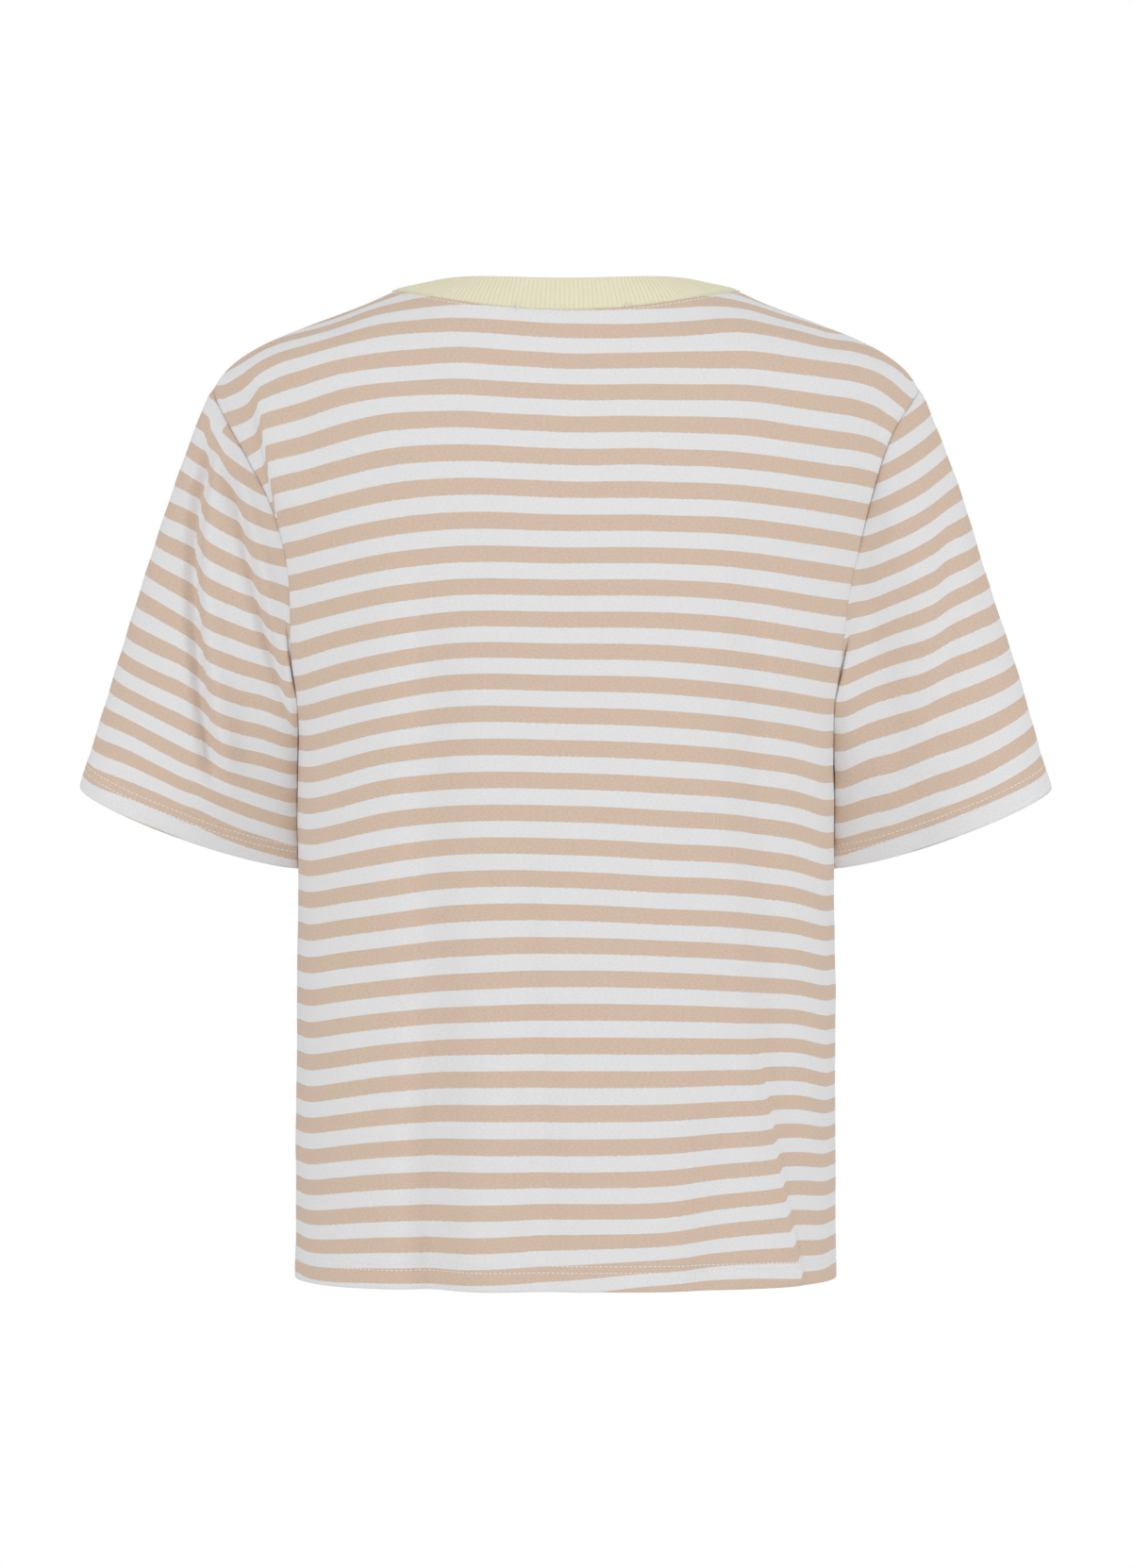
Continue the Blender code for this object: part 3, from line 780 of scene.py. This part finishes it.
def sewing_thread_material():
    """White cotton thread: two plies twisted together, with shade painted into the grooves of the twist, matt
    with a faint sheen.
    """
    material, wire, cut = cotton_material("sewing_thread")
    turns_along, turns_around = 9000.0, 6000.0
    ply_groove_painted_shade, ply_white = (0.80, 0.79, 0.77, 1.0), (0.90, 0.89, 0.88, 1.0)
    along, around = wire.split(cut)
    cotton = wire.group(spun_cotton, Cut=cut, Slub_Size=0.002, Fuzz_Size=0.0003)
    twist = wire.math("SINE", wire.linear(along, turns_along, wire.math("MULTIPLY", around, turns_around)))
    # Shade painted into the colour: darker in the grooves between the twisted plies.
    colour = wire.mix(wire.smooth_step(twist, -0.9, 0.2), ply_groove_painted_shade, ply_white)
    roughness = wire.linear(cotton["Fuzz"], 0.2, 0.60)
    finish_cotton(wire, colour, roughness, relief=twist, bump_strength=0.4, bump_distance=0.0001)
    return material


sewing_thread = sewing_thread_material()


def along_line(places, run, values):
    return np.stack([np.interp(places, run, values[:, axis]) for axis in range(3)], axis=-1)


def length_run(line):
    """How far along a line each of its points is."""
    return np.concatenate([[0], np.cumsum(np.linalg.norm(np.diff(line, axis=0), axis=1))])


def sew(name, lines, pitch=STITCH_PITCH, length=STITCH_LENGTH, arch=STITCH_ARCH):
    """Rows of stitches along lines of (points, the way the cloth faces at each). Each stitch is a short thread
    that lies off the line by its arch."""
    stations, sides = len(arch), THREAD_SIDES
    corner = np.arange(sides) * 2 * math.pi / sides
    thickness = THREAD_RADIUS * np.array([THREAD_TAPER] + [1.0] * (stations - 2) + [THREAD_TAPER])
    rings = [(j, i) for j in range(stations - 1) for i in range(sides)]
    outlines = [[(j, i), (j + 1, i), (j + 1, i + 1), (j, i + 1)] for j, i in rings]
    outlines += [[(0, i) for i in range(sides)], [(stations - 1, i) for i in reversed(range(sides))]]
    points, faces, flat_cut = [], [], []
    for line, facing in lines:
        run = length_run(line)
        for start in np.arange(FIRST_STITCH, run[-1] - length, pitch):
            places = start + np.linspace(0, length, stations)
            middle = along_line(places, run, line)
            out = along_line(places, run, facing)
            out /= np.linalg.norm(out, axis=1, keepdims=True)
            side = np.cross(np.gradient(middle, axis=0), out)
            side /= np.linalg.norm(side, axis=1, keepdims=True)
            middle = middle + out * np.array(arch)[:, None]
            ring = out[:, None] * np.sin(corner)[:, None] + side[:, None] * np.cos(corner)[:, None]
            first = len(points) * stations * sides
            points.append((middle[:, None] + ring * thickness[:, None, None]).reshape(-1, 3))
            faces += [[first + j * sides + i % sides for j, i in outline] for outline in outlines]
            flat_cut += [(places[j], i * THREAD_RADIUS) for outline in outlines for j, i in outline]
    stitches = new_piece(name, np.concatenate(points), faces, flat_cut, sewing_thread)
    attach(stitches, "root")


sew("body_hem_stitches", back_hem + front_hem)

# --------------------------------------------------------------------------------------------------- sleeves
# Two half-length sleeves of the same jersey, set into the armholes and closed by a seam under the arm. Each
# hangs out from the shoulder as a flattened tube, and its cuff is turned up like the hem.

CUFF_CENTRE = np.array([0.2390, 0.0180, -0.3428])
CUFF_HALF_WIDTH = 0.0765
CUFF_HALF_DEPTH = 0.0400
CUFF_ROLL = math.radians(18.0)
SLEEVE_OUTWARD = math.radians(23.0)
SLEEVE_FORWARD = math.radians(12.0)
SLEEVE_PUFF = 0.0040
PUFF_POWER = 0.6
UNDERARM_OUT = 0.0020
UNDERARM_OUT_AT = 0.07
UNDERARM_FORWARD = 0.0290
UNDERARM_NARROW = 3
FORWARD_NARROW = 5

# A sleeve's back is fuller on its inner side, where it lies close to the body: the two cloths' middles are one
# gap apart. Fullness and gap grow over these shares of the way down from the armhole. Creases fade out over the
# last distance to the body.
INNER_FULLNESS = 0.0230
INNER_CLOSENESS = 0.0065
INNER_LEAN = 1.8
INNER_GROWS = 0.14
BODY_GAP = 0.0011
GAP_GROWS = 0.06
CLOSE_HOLD = 0.008

# Creases lie on the back half, and fade in over this sine of the angle round from the sides.
BACK_FADE = 0.25

# The mesh of a sleeve: columns round it, and rows above the cuff's, closer at their ends by these shares.
SLEEVE_COLUMNS = 280
SLEEVE_ROWS = 60
CUFF_ROWS_TOP = 0.018
NEAR_ENDS = (0, 0.006, 0.013, 0.022, 0.035)

# The courses of each sleeve. Each row is a height up from the cuff, then how many millimetres the course there
# rides above a plane square to the sleeve, at each of these places from the body out.
SLEEVE_PLACES = (0.175, 0.190, 0.208, 0.226, 0.234, 0.241, 0.256, 0.280, 0.300)
RIGHT_SLEEVE_COURSES = (
    (0.000, -10.5, -12.5, -13.5, -14, -14, -14, -14, -14, -13.5),
    (0.014, -12.5, -14.5, -15.5, -16, -16, -16, -16, -16, -15.5),
    (0.021, -12.5, -14.5, -14, -14.5, -14.5, -14, -13.5, -14.5, -16),
    (0.030, -12, -14.5, -14, -14.5, -14.5, -14, -13.5, -14.5, -15.5),
    (0.040, -13, -15, -14.5, -15, -15, -14.5, -14, -14.5, -15.5),
    (0.060, -15, -18.5, -17.5, -17.5, -17.5, -17, -16, -15, -15),
    (0.080, -18.5, -20.5, -19.5, -18, -18.5, -18.5, -17.5, -15, -15),
    (0.100, -19, -21.5, -20, -17.5, -18, -18.5, -17, -14, -14),
    (0.120, -19, -19.5, -18.5, -16, -16, -17, -16.5, -13, -13),
    (0.160, -19, -13.5, -12, -12, -12, -13.5, -12, -11, -11),
    (0.200, -14, -9.5, -8.5, -8.5, -9.5, -10.5, -10, -9, -9),
    (0.240, -5, -4.5, -4.5, -6, -7, -7.5, -8, -8, -8),
)
LEFT_SLEEVE_COURSES = (
    (0.000, -10, -11, -12.5, -13, -14, -14, -14.5, -14.5, -12.5),
    (0.020, -8, -10.5, -12, -14.5, -15.5, -15, -15.5, -14.5, -11),
    (0.040, -5.5, -7.5, -9, -9.5, -10.5, -10, -11, -11.5, -7),
    (0.060, -3.5, -5.5, -4.5, -5.5, -7.5, -8, -8.5, -8, -5),
    (0.080, -0.5, -3, -1.5, -2.5, -5, -6.5, -6, -4.5, -4),
    (0.100, 0, -2, 0.5, 0, -1.5, -4.5, -4, -2, -2),
    (0.120, -1.5, -1, 1, 1.5, 0, -2.5, -3.5, -1.5, -1),
    (0.160, -1, 0, 1.5, 1, -2, -3.5, -2, 0, 0),
    (0.200, -3.5, 1.5, 2, 0.5, -1, -1.5, 3, 3, 3),
    (0.240, 4.5, 7, 5.5, 1, 1.5, 2, 4, 4, 4),
)

# Creases and tucks of a sleeve's back half, seen square on, on the right sleeve's side. Lower down, the outer
# valley lies further out than the step in the courses does.
OUTER_LINE = (
    (0.2285, -0.084), (0.2291, -0.092), (0.2297, -0.1096), (0.2309, -0.1214), (0.2343, -0.1332),
    (0.2357, -0.145), (0.2369, -0.157), (0.2372, -0.170), (0.2346, -0.190), (0.2310, -0.215), (0.2290, -0.240),
    (0.2260, -0.270), (0.2208, -0.3045), (0.2126, -0.3245),
)
INNER_LINE = (
    (0.2240, -0.084), (0.2226, -0.093), (0.2179, -0.1096), (0.2125, -0.1273), (0.2078, -0.145),
    (0.2043, -0.1627), (0.2007, -0.178), (0.1948, -0.204), (0.1901, -0.2217), (0.1842, -0.2395),
    (0.1760, -0.268), (0.1700, -0.290),
)
OUTER_VALLEY = tuple((x + 0.006 * min(max((-0.17 - z) / 0.04, 0), 1), z) for x, z in OUTER_LINE)
RIGHT_SLEEVE_CREASES = (
    Crease(
        ((0.231, -0.125), (0.239, -0.165), (0.244, -0.205), (0.240, -0.260), (0.230, -0.300)),
        0.012, 0.008, -0.0035, 0.3, 0.5,
    ),
)
LEFT_SLEEVE_CREASES = (
    # Two valleys that run down the sleeve, each with a flank on its body side that faces outwards.
    Crease(OUTER_VALLEY, 0.008, 0.003, -0.0064, 0.15, 0.12),
    Crease(moved(OUTER_VALLEY, -0.014), 0.009, 0.006, 0.0050, 0.15, 0.15),
    Crease(INNER_LINE, 0.007, 0.003, -0.0048, 0.2, 0.3),
    Crease(moved(INNER_LINE, -0.010), 0.007, 0.005, 0.0030, 0.2, 0.3),
)
LEFT_SLEEVE_TUCKS = (
    Tuck(OUTER_LINE, -1, -0.0062, 0.0014, 0.03, 0.7),
    Tuck(INNER_LINE, -1, -0.0055, 0.0045, 0.05, 0.05),
)


def sleeve_frame():
    """Unit vectors of a cuff on the +X side: along its wide way, its narrow way, and up the sleeve."""
    wide = np.array([math.cos(SLEEVE_OUTWARD), 0.0, math.sin(SLEEVE_OUTWARD)])
    straight_up = np.array([-math.sin(SLEEVE_OUTWARD), 0.0, math.cos(SLEEVE_OUTWARD)])
    narrow = -straight_up * math.sin(SLEEVE_FORWARD) - np.array([0.0, math.cos(SLEEVE_FORWARD), 0.0])
    cos_roll, sin_roll = math.cos(CUFF_ROLL), math.sin(CUFF_ROLL)
    wide, narrow = wide * cos_roll + narrow * sin_roll, narrow * cos_roll - wide * sin_roll
    up = np.cross(wide, narrow)
    return wide, narrow, up * np.sign(up[2])


def sleeve_ends(turn, mirrored):
    """The sleeve's armhole and cuff at angles from its top, positive round its back."""
    back, front = armhole_edge(BACK, np.abs(turn)), armhole_edge(FRONT, np.abs(turn))
    if not mirrored:
        seam_out = right_seam_out(back[:, 2])
        back[:, 0] += seam_out
        back[:, 1] = np.where(seam_out != 0, depth_at(BACK, back[:, 0], back[:, 2]), back[:, 1])
    armhole = np.where((turn >= 0)[:, None], back, front)
    wide, narrow, _ = sleeve_frame()
    across, deep = CUFF_HALF_WIDTH * np.cos(turn)[:, None], CUFF_HALF_DEPTH * np.sin(turn)[:, None]
    return armhole, CUFF_CENTRE + across * wide + deep * narrow


def body_side(points):
    """How far out the +X side of the smooth body is beside these points."""
    y, z = points[..., 1], points[..., 2]
    return np.where(y < 0, width_at(BACK, y, z), width_at(FRONT, y, z))


def sleeve_points(turn, from_cuff, mirrored, full=True):
    """Points of the smooth +X sleeve, from_cuff being each point's share of the way up from the cuff. Unless
    full, it is the plain tube from armhole to cuff that the courses follow."""
    armhole, cuff = sleeve_ends(turn, mirrored)
    wide, narrow, _ = sleeve_frame()
    down = np.clip(1 - from_cuff, 0, 1)[..., None]
    turn = turn[None, :, None]
    on_top = (1 + np.cos(turn)) / 2
    puff = SLEEVE_PUFF * np.sin(math.pi * down**PUFF_POWER) * on_top
    puff = puff * (np.cos(turn) * wide + np.sin(turn) * narrow)
    out = UNDERARM_OUT * down / UNDERARM_OUT_AT * np.exp(1 - down / UNDERARM_OUT_AT)
    forward = UNDERARM_FORWARD * np.sin(math.pi * down**0.5)
    below = 1 - on_top
    clear = below**UNDERARM_NARROW * out * (1, 0, 0) + below**FORWARD_NARROW * forward * (0, 1, 0)
    beside_body = np.sin(math.pi * np.clip(2 * turn / math.pi - 1, 0, 1) ** INNER_LEAN)
    fuller = full * beside_body * ease(down / INNER_GROWS) * (-INNER_CLOSENESS, -INNER_FULLNESS, 0)
    points = cuff + (armhole - cuff) * from_cuff[..., None] + puff + clear + fuller
    nearest = body_side(points) + BODY_GAP * ease(down[..., 0] / GAP_GROWS)
    points[..., 0] = np.maximum(points[..., 0], nearest)
    return points


def sleeve_cloth(name, mirrored, creases, tucks, courses, phase):
    """A sleeve's cloth, made on the +X side and mirrored for the left, and the lines its cuff is sewn along."""
    turn = np.linspace(math.pi, -math.pi, SLEEVE_COLUMNS + 1)[:-1]
    armhole, cuff = sleeve_ends(turn, mirrored)
    length = np.linalg.norm(armhole - cuff, axis=-1)
    above, inward = hem_rows()
    open_rows = close_to_ends(0, 1, SLEEVE_ROWS, NEAR_ENDS)[1:, None]
    start = CUFF_ROWS_TOP / length
    from_cuff = np.concatenate([above[:, None] / length, start + (1 - start) * open_rows])
    inward = np.concatenate([inward, np.zeros(len(open_rows))])
    smooth = sleeve_points(turn, from_cuff, mirrored)
    # The rows inside the cuff run down, and the others up, so the cloth's normals are turned to face out.
    normals = grid_normals(sleeve_points(turn, np.abs(from_cuff), mirrored), closed=True)
    normals *= np.where(np.gradient(np.abs(from_cuff), axis=0) < 0, -1, 1)[..., None]
    upper_row = len(from_cuff) - SLEEVE_ROWS // 3
    from_axis = smooth[upper_row] - smooth[upper_row].mean(axis=0)
    normals *= np.sign((normals[upper_row] * from_axis).sum())
    x, z = smooth[..., 0], smooth[..., 2]
    back_half = ease(np.sin(turn) / BACK_FADE)[None, :]
    up_sleeve, to_armhole = from_cuff * length, (1 - from_cuff) * length
    to_underseam = (math.pi - np.abs(turn)) * (CUFF_HALF_WIDTH + CUFF_HALF_DEPTH) / 2
    lift = crease_lift(creases, x, z) * back_half + handling(x, z, phase)
    lift *= ease(to_armhole / SEAM_HOLD) * ease((x - body_side(smooth) - BODY_GAP) / CLOSE_HOLD)
    lift += hem_relief(np.abs(up_sleeve)) - seam_sink(to_armhole) - seam_sink(to_underseam)[None, :]
    grid = smooth + normals * (lift - inward[:, None])[..., None]
    _, _, up = sleeve_frame()
    run = (sleeve_points(turn, from_cuff, mirrored, full=False) - CUFF_CENTRE) @ up
    run += course_ride(SLEEVE_PLACES, courses, x, run) - tuck_shift(tucks, x, z) * back_half
    ring = np.linalg.norm(np.roll(smooth, -1, axis=1) - smooth, axis=-1)
    around = np.concatenate([np.zeros((len(ring), 1)), np.cumsum(ring, axis=1)], axis=1)
    flat = np.stack([around, np.concatenate([run, run[:, :1]], axis=1)], axis=-1)
    mirror = (-1 if mirrored else 1, 1, 1)
    hem = [(line * mirror, facing * mirror) for line, facing in needle_lines(grid, normals)]
    if mirrored:
        grid, flat = grid[:, ::-1] * mirror, flat[:, ::-1]
    return make_cloth(name, grid, flat, closed=True), hem


for side, creases, tucks, courses, phase in (
    ("right", RIGHT_SLEEVE_CREASES, (), RIGHT_SLEEVE_COURSES, 2.7),
    ("left", LEFT_SLEEVE_CREASES, LEFT_SLEEVE_TUCKS, LEFT_SLEEVE_COURSES, 4.1),
):
    sleeve, cuff_rows = sleeve_cloth(f"{side}_sleeve_cloth", side == "left", creases, tucks, courses, phase)
    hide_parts(f"{side}_sleeve")
    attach(sleeve, "root")
    once_round = list(range(SLEEVE_COLUMNS)) + [0]
    sew(f"{side}_cuff_stitches", [(line[once_round], facing[once_round]) for line, facing in cuff_rows])

# -------------------------------------------------------------------------------------------------- neckband
# A strip of fine 1x1 rib, pale yellow, folded double and sewn round the neck, standing up 20 mm. Its ribs run
# up it, and it is stretched a little, so it leans in.

BAND_WIDTH = 0.0200
BAND_HALF_WALL = 0.0009
BAND_LEAN_BACK = math.radians(18.0)
BAND_LEAN_FRONT = math.radians(35.0)
BAND_LEAN_SHOULDER = math.radians(80.0)
RIB_PITCH = 0.0030
RIB_HEIGHT = 0.00040
RIB_ROUNDNESS = 0.7
RIBS_START = -0.001
RIBS_GROW = 0.002
POINTS_A_RIB = 8
BAND_SWELL = 0.0004
BAND_SINK = 0.0005
BAND_SINK_WIDTH = 0.0012
LEAN_POWER = 1.9

# Heights of the band's mesh rows above its seam: up its outside to near the fold, over the fold, down inside.
OUTER_ROWS = (-0.0015, 0.0, 0.0012, 0.004, 0.008, 0.012, 0.016)
FOLD_ANGLES = np.radians([0, 30, 60, 90, 120, 150, 180])
INNER_ROWS = (0.014, 0.008, 0.002, -0.0015)
YELLOW_YARN = (0.800, 0.765, 0.560)
RIB_UNEVENNESS = 0.06
VALLEY_PAINTED_SHADE = 0.10


def yellow_rib_material():
    """Pale yellow rib of the same cotton: fine stitches up each rib, and shade painted darker between ribs."""
    material, wire, cut = cotton_material("yellow_rib")
    cotton = wire.group(spun_cotton, Cut=cut, Slub_Size=0.003, Fuzz_Size=0.0004)
    knit = wire.group(jersey_stitches, Cut=cut, Wale=RIB_PITCH / 2, Course=0.0009)
    across, _ = wire.split(cut)
    rib = wire.math("ABSOLUTE", wire.math("SINE", wire.math("MULTIPLY", across, math.pi / RIB_PITCH)))
    shade = wire.linear(cotton["Shade"], -RIB_UNEVENNESS, 1 + RIB_UNEVENNESS / 2)
    # Shade painted into the colour: darker in the valleys between ribs.
    shade = wire.linear(wire.smooth_step(rib, 0.55, 0.0), -VALLEY_PAINTED_SHADE, shade)
    colour = wire.shaded(YELLOW_YARN, shade)
    roughness = wire.linear(cotton["Fuzz"], 0.15, 0.80)
    relief = knit["Height"]
    add_bloom(finish_cotton(wire, colour, roughness, relief, bump_strength=0.4, bump_distance=0.0003))
    return material


def neckline(count):
    """count points evenly round the neck seam, from the back's -X end, and how far round each is."""
    share = np.linspace(-1, 1, 400)
    neck = np.array([float(NECK_CLIMB)])
    back = panel_points(BACK, neck, share)[0]
    front = panel_points(FRONT, neck, share)[0][::-1]
    loop = np.concatenate([back, front[1:]])
    run = length_run(loop)
    even = np.linspace(0, run[-1], count + 1)
    return along_line(even, run, loop)[:-1], even


def band_directions(seam):
    """How the band rises from each point of its seam, and which way it faces there."""
    side = np.abs(seam[:, :1]) / np.abs(seam[:, 0]).max()
    middle_lean = np.where(seam[:, 1:2] < 0, BAND_LEAN_BACK, BAND_LEAN_FRONT)
    lean = middle_lean + (BAND_LEAN_SHOULDER - middle_lean) * side**LEAN_POWER
    outward = seam * (1, 1, 0)
    outward /= np.linalg.norm(outward, axis=1, keepdims=True)
    rise = np.cos(lean) * (0, 0, 1) - np.sin(lean) * outward
    face = np.cos(lean) * outward + np.sin(lean) * (0, 0, 1)
    return rise, face


def neckband_cloth():
    """The doubled rib as one closed form. Each row is a height up the band and a way out from its middle."""
    _, round_neck = neckline(1)
    ribs = round(round_neck[-1] / RIB_PITCH)
    columns = ribs * POINTS_A_RIB
    seam, _ = neckline(columns)
    rise, face = band_directions(seam)
    rib = np.abs(np.sin(np.arange(columns) / POINTS_A_RIB * math.pi)) ** RIB_ROUNDNESS
    top = BAND_WIDTH - BAND_HALF_WALL
    profile = [(height, 0.0, 1.0) for height in OUTER_ROWS]
    profile += [(top, math.sin(angle), math.cos(angle)) for angle in FOLD_ANGLES]
    profile += [(height, 0.0, -1.0) for height in INNER_ROWS]
    rows, heights = [], []
    for height, upwards, outwards in profile:
        height += BAND_HALF_WALL * upwards
        outside = outwards > 0
        swell = BAND_SWELL * math.sin(math.pi * min(max(height / BAND_WIDTH, 0), 1)) * outside
        sunk = BAND_SINK * math.exp(-((height / BAND_SINK_WIDTH) ** 2)) * outside
        ribbed = RIB_HEIGHT * rib * ease((height - RIBS_START) / RIBS_GROW)
        out = BAND_HALF_WALL * outwards + swell - sunk + ribbed * outwards
        rows.append(seam + rise * (height + ribbed * upwards)[:, None] + face * out[:, None])
        heights.append(height)
    flat_up = np.concatenate([[0], np.cumsum(np.abs(np.diff(heights)) + 1e-5)])
    across = np.arange(columns + 1) / POINTS_A_RIB * RIB_PITCH
    row, column = np.indices((len(rows), columns)).reshape(2, -1)
    above, after = (row + 1) % len(rows), (column + 1) % columns
    start, end = flat_up[row], np.where(above == 0, flat_up[row] + 2 * BAND_HALF_WALL, flat_up[above])
    corners = ((row, column), (row, after), (above, after), (above, column))
    faces = np.stack([r * columns + c for r, c in corners], axis=1)
    left, right = across[column], across[column + 1]
    flat_cut = np.stack([left, start, right, start, right, end, left, end], axis=-1)
    return new_piece("neckband_rib", np.concatenate(rows), faces.tolist(), flat_cut, yellow_rib_material())


neckband = neckband_cloth()
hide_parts("neckband")
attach(neckband, "root")

# ----------------------------------------------------------------------------------------------- neck stitches
# A row of the same thread on the panels, 4 mm below the neck seam, which holds its allowance down, and the two
# short bartacks across the seam at the back of the neck.

NECK_ROW = 0.0040
ROW_POINTS = 401
SEAM_POINTS = 2400
BARTACK_PLACES = (-0.0303, 0.0380)
BARTACK_HEIGHTS = np.linspace(-0.0026, 0.0014, 10)
BARTACK_HALF_WIDTH = 0.0009
BARTACK_STITCH = 0.0012
BARTACK_ARCH = (0, 0.00005, 0.00005, 0)
ON_BAND = BAND_HALF_WALL + 0.0007
ON_PANEL = CLOTH_WALL / 2 + 0.0006
ROW_END = 0.003


def neck_row(panel, under, lift):
    """A line on a panel's outside, under its neck edge by this much, with the way the cloth faces there."""
    share = np.linspace(-1, 1, ROW_POINTS)
    top = panel_points(panel, np.array([float(NECK_CLIMB)]), share)[0]
    below = panel_points(panel, np.array([NECK_CLIMB - 1.0]), share)[0]
    down = below - top
    down /= np.linalg.norm(down, axis=1, keepdims=True)
    facing = np.cross(np.gradient(top, axis=0), -down)
    facing /= np.linalg.norm(facing, axis=1, keepdims=True) * -panel.side
    inside = np.abs(top[:, 0]) < np.abs(top[:, 0]).max() - ROW_END
    return (top + down * under + facing * lift)[inside], facing[inside]


sew("neck_seam_stitches", [neck_row(panel, NECK_ROW, CLOTH_WALL / 3) for panel in (BACK, FRONT)])

seam, _ = neckline(SEAM_POINTS)
rise, face = band_directions(seam)
bartack_lines = []
for place in BARTACK_PLACES:
    for height in BARTACK_HEIGHTS:
        if height > 0:
            nearest = int(np.argmin(np.where(seam[:, 1] < 0, np.abs(seam[:, 0] - place), 1)))
            out = face[nearest]
            middle = seam[nearest] + rise[nearest] * height + out * ON_BAND
        else:
            line, facing = neck_row(BACK, -height, ON_PANEL)
            nearest = int(np.argmin(np.abs(line[:, 0] - place)))
            out, middle = facing[nearest], line[nearest]
        ends = middle + np.array([[-BARTACK_HALF_WIDTH, 0, 0], [BARTACK_HALF_WIDTH, 0, 0]])
        bartack_lines.append((ends, np.array([out, out])))
sew("neck_bartacks", bartack_lines, pitch=1.0, length=BARTACK_STITCH, arch=BARTACK_ARCH)

# ------------------------------------------------------------------------------------------- floor and light
# A plain pale floor well below the hem, an even white studio and a level camera behind the wearer's back.

FLOOR_HEIGHT = -1.1
FLOOR_HALF = 4.0
STUDIO_WHITE = (0.98, 0.99, 1.0, 1)
STUDIO_STRENGTH = 0.56


def white_to_camera(tree, lit, white, end):
    """Light the scene by one shader, and show the camera plain white in its place."""
    wire = Wiring(tree)
    camera_ray = wire.node("LightPath", "Is Camera Ray", {})
    wire.plug(wire.node("MixShader", "Shader", {0: camera_ray, 1: lit, 2: white}), end.inputs["Surface"])


floor_mesh = bpy.data.meshes.new("studio_floor")
corner_signs = ((-1, -1), (1, -1), (1, 1), (-1, 1))
floor_corners = [(x * FLOOR_HALF, y * FLOOR_HALF, FLOOR_HEIGHT) for x, y in corner_signs]
floor_mesh.from_pydata(floor_corners, [], [(0, 1, 2, 3)])
floor = bpy.data.objects.new("studio_floor", floor_mesh)
bpy.context.scene.collection.objects.link(floor)
floor_paint = bpy.data.materials.new("pale_floor")
floor_paint.use_nodes = True
floor_nodes = floor_paint.node_tree.nodes
floor_nodes["Principled BSDF"].inputs["Base Color"].default_value = (0.85, 0.85, 0.85, 1)
floor_nodes["Principled BSDF"].inputs["Roughness"].default_value = 0.9
floor_lit = floor_nodes["Principled BSDF"].outputs["BSDF"]
floor_white = floor_nodes.new("ShaderNodeEmission").outputs["Emission"]
white_to_camera(floor_paint.node_tree, floor_lit, floor_white, floor_nodes["Material Output"])
floor_mesh.materials.append(floor_paint)

world = bpy.data.worlds.new("white_studio")
bpy.context.scene.world = world
world.use_nodes = True
world.node_tree.nodes.clear()
wire = Wiring(world.node_tree)
sky_lit = wire.node("Background", "Background", {"Color": STUDIO_WHITE, "Strength": STUDIO_STRENGTH})
sky_white = wire.node("Background", "Background", {"Color": (1, 1, 1, 1), "Strength": 1.0})
white_to_camera(world.node_tree, sky_lit, sky_white, world.node_tree.nodes.new("ShaderNodeOutputWorld"))

SoftBox = namedtuple("SoftBox", "name place aim size power")
SOFT_BOXES = (
    SoftBox("left_front_box", (-2.8, -1.9, 0.4), (0, 0, -0.30), 1.6, 26.0),
    SoftBox("right_front_box", (2.8, -1.9, 0.3), (0, 0, -0.30), 1.6, 28.0),
    SoftBox("front_box", (0.0, -3.6, 0.7), (0, 0, -0.30), 1.4, 13.5),
    SoftBox("top_box", (0.0, -0.4, 2.2), (0, 0, 0), 2.0, 8.0),
    SoftBox("far_box", (0.6, 2.8, 0.8), (0, 0, -0.3), 2.0, 26.0),
)
for box in SOFT_BOXES:
    light = bpy.data.lights.new(box.name, "AREA")
    light.shape = "SQUARE"
    light.size = box.size
    light.energy = box.power
    lamp = bpy.data.objects.new(box.name, light)
    lamp.location = box.place
    lamp.rotation_euler = (Vector(box.aim) - Vector(box.place)).to_track_quat("-Z", "Y").to_euler()
    bpy.context.scene.collection.objects.link(lamp)

# The view is as high as the photograph's frame in the plane of the side seams.
CAMERA_DISTANCE = 3.2
CAMERA_HEIGHT = -0.3168
VIEW_HEIGHT = 0.9972
camera_data = bpy.data.cameras.new("camera")
camera_data.sensor_fit = "VERTICAL"
camera_data.sensor_height = 36.0
camera_data.lens = camera_data.sensor_height * CAMERA_DISTANCE / VIEW_HEIGHT
camera = bpy.data.objects.new("camera", camera_data)
camera.location = (0.0, -CAMERA_DISTANCE, CAMERA_HEIGHT)
camera.rotation_euler = (math.radians(90), 0, 0)
bpy.context.scene.collection.objects.link(camera)
bpy.context.scene.camera = camera
bpy.context.scene.view_settings.view_transform = "Standard"
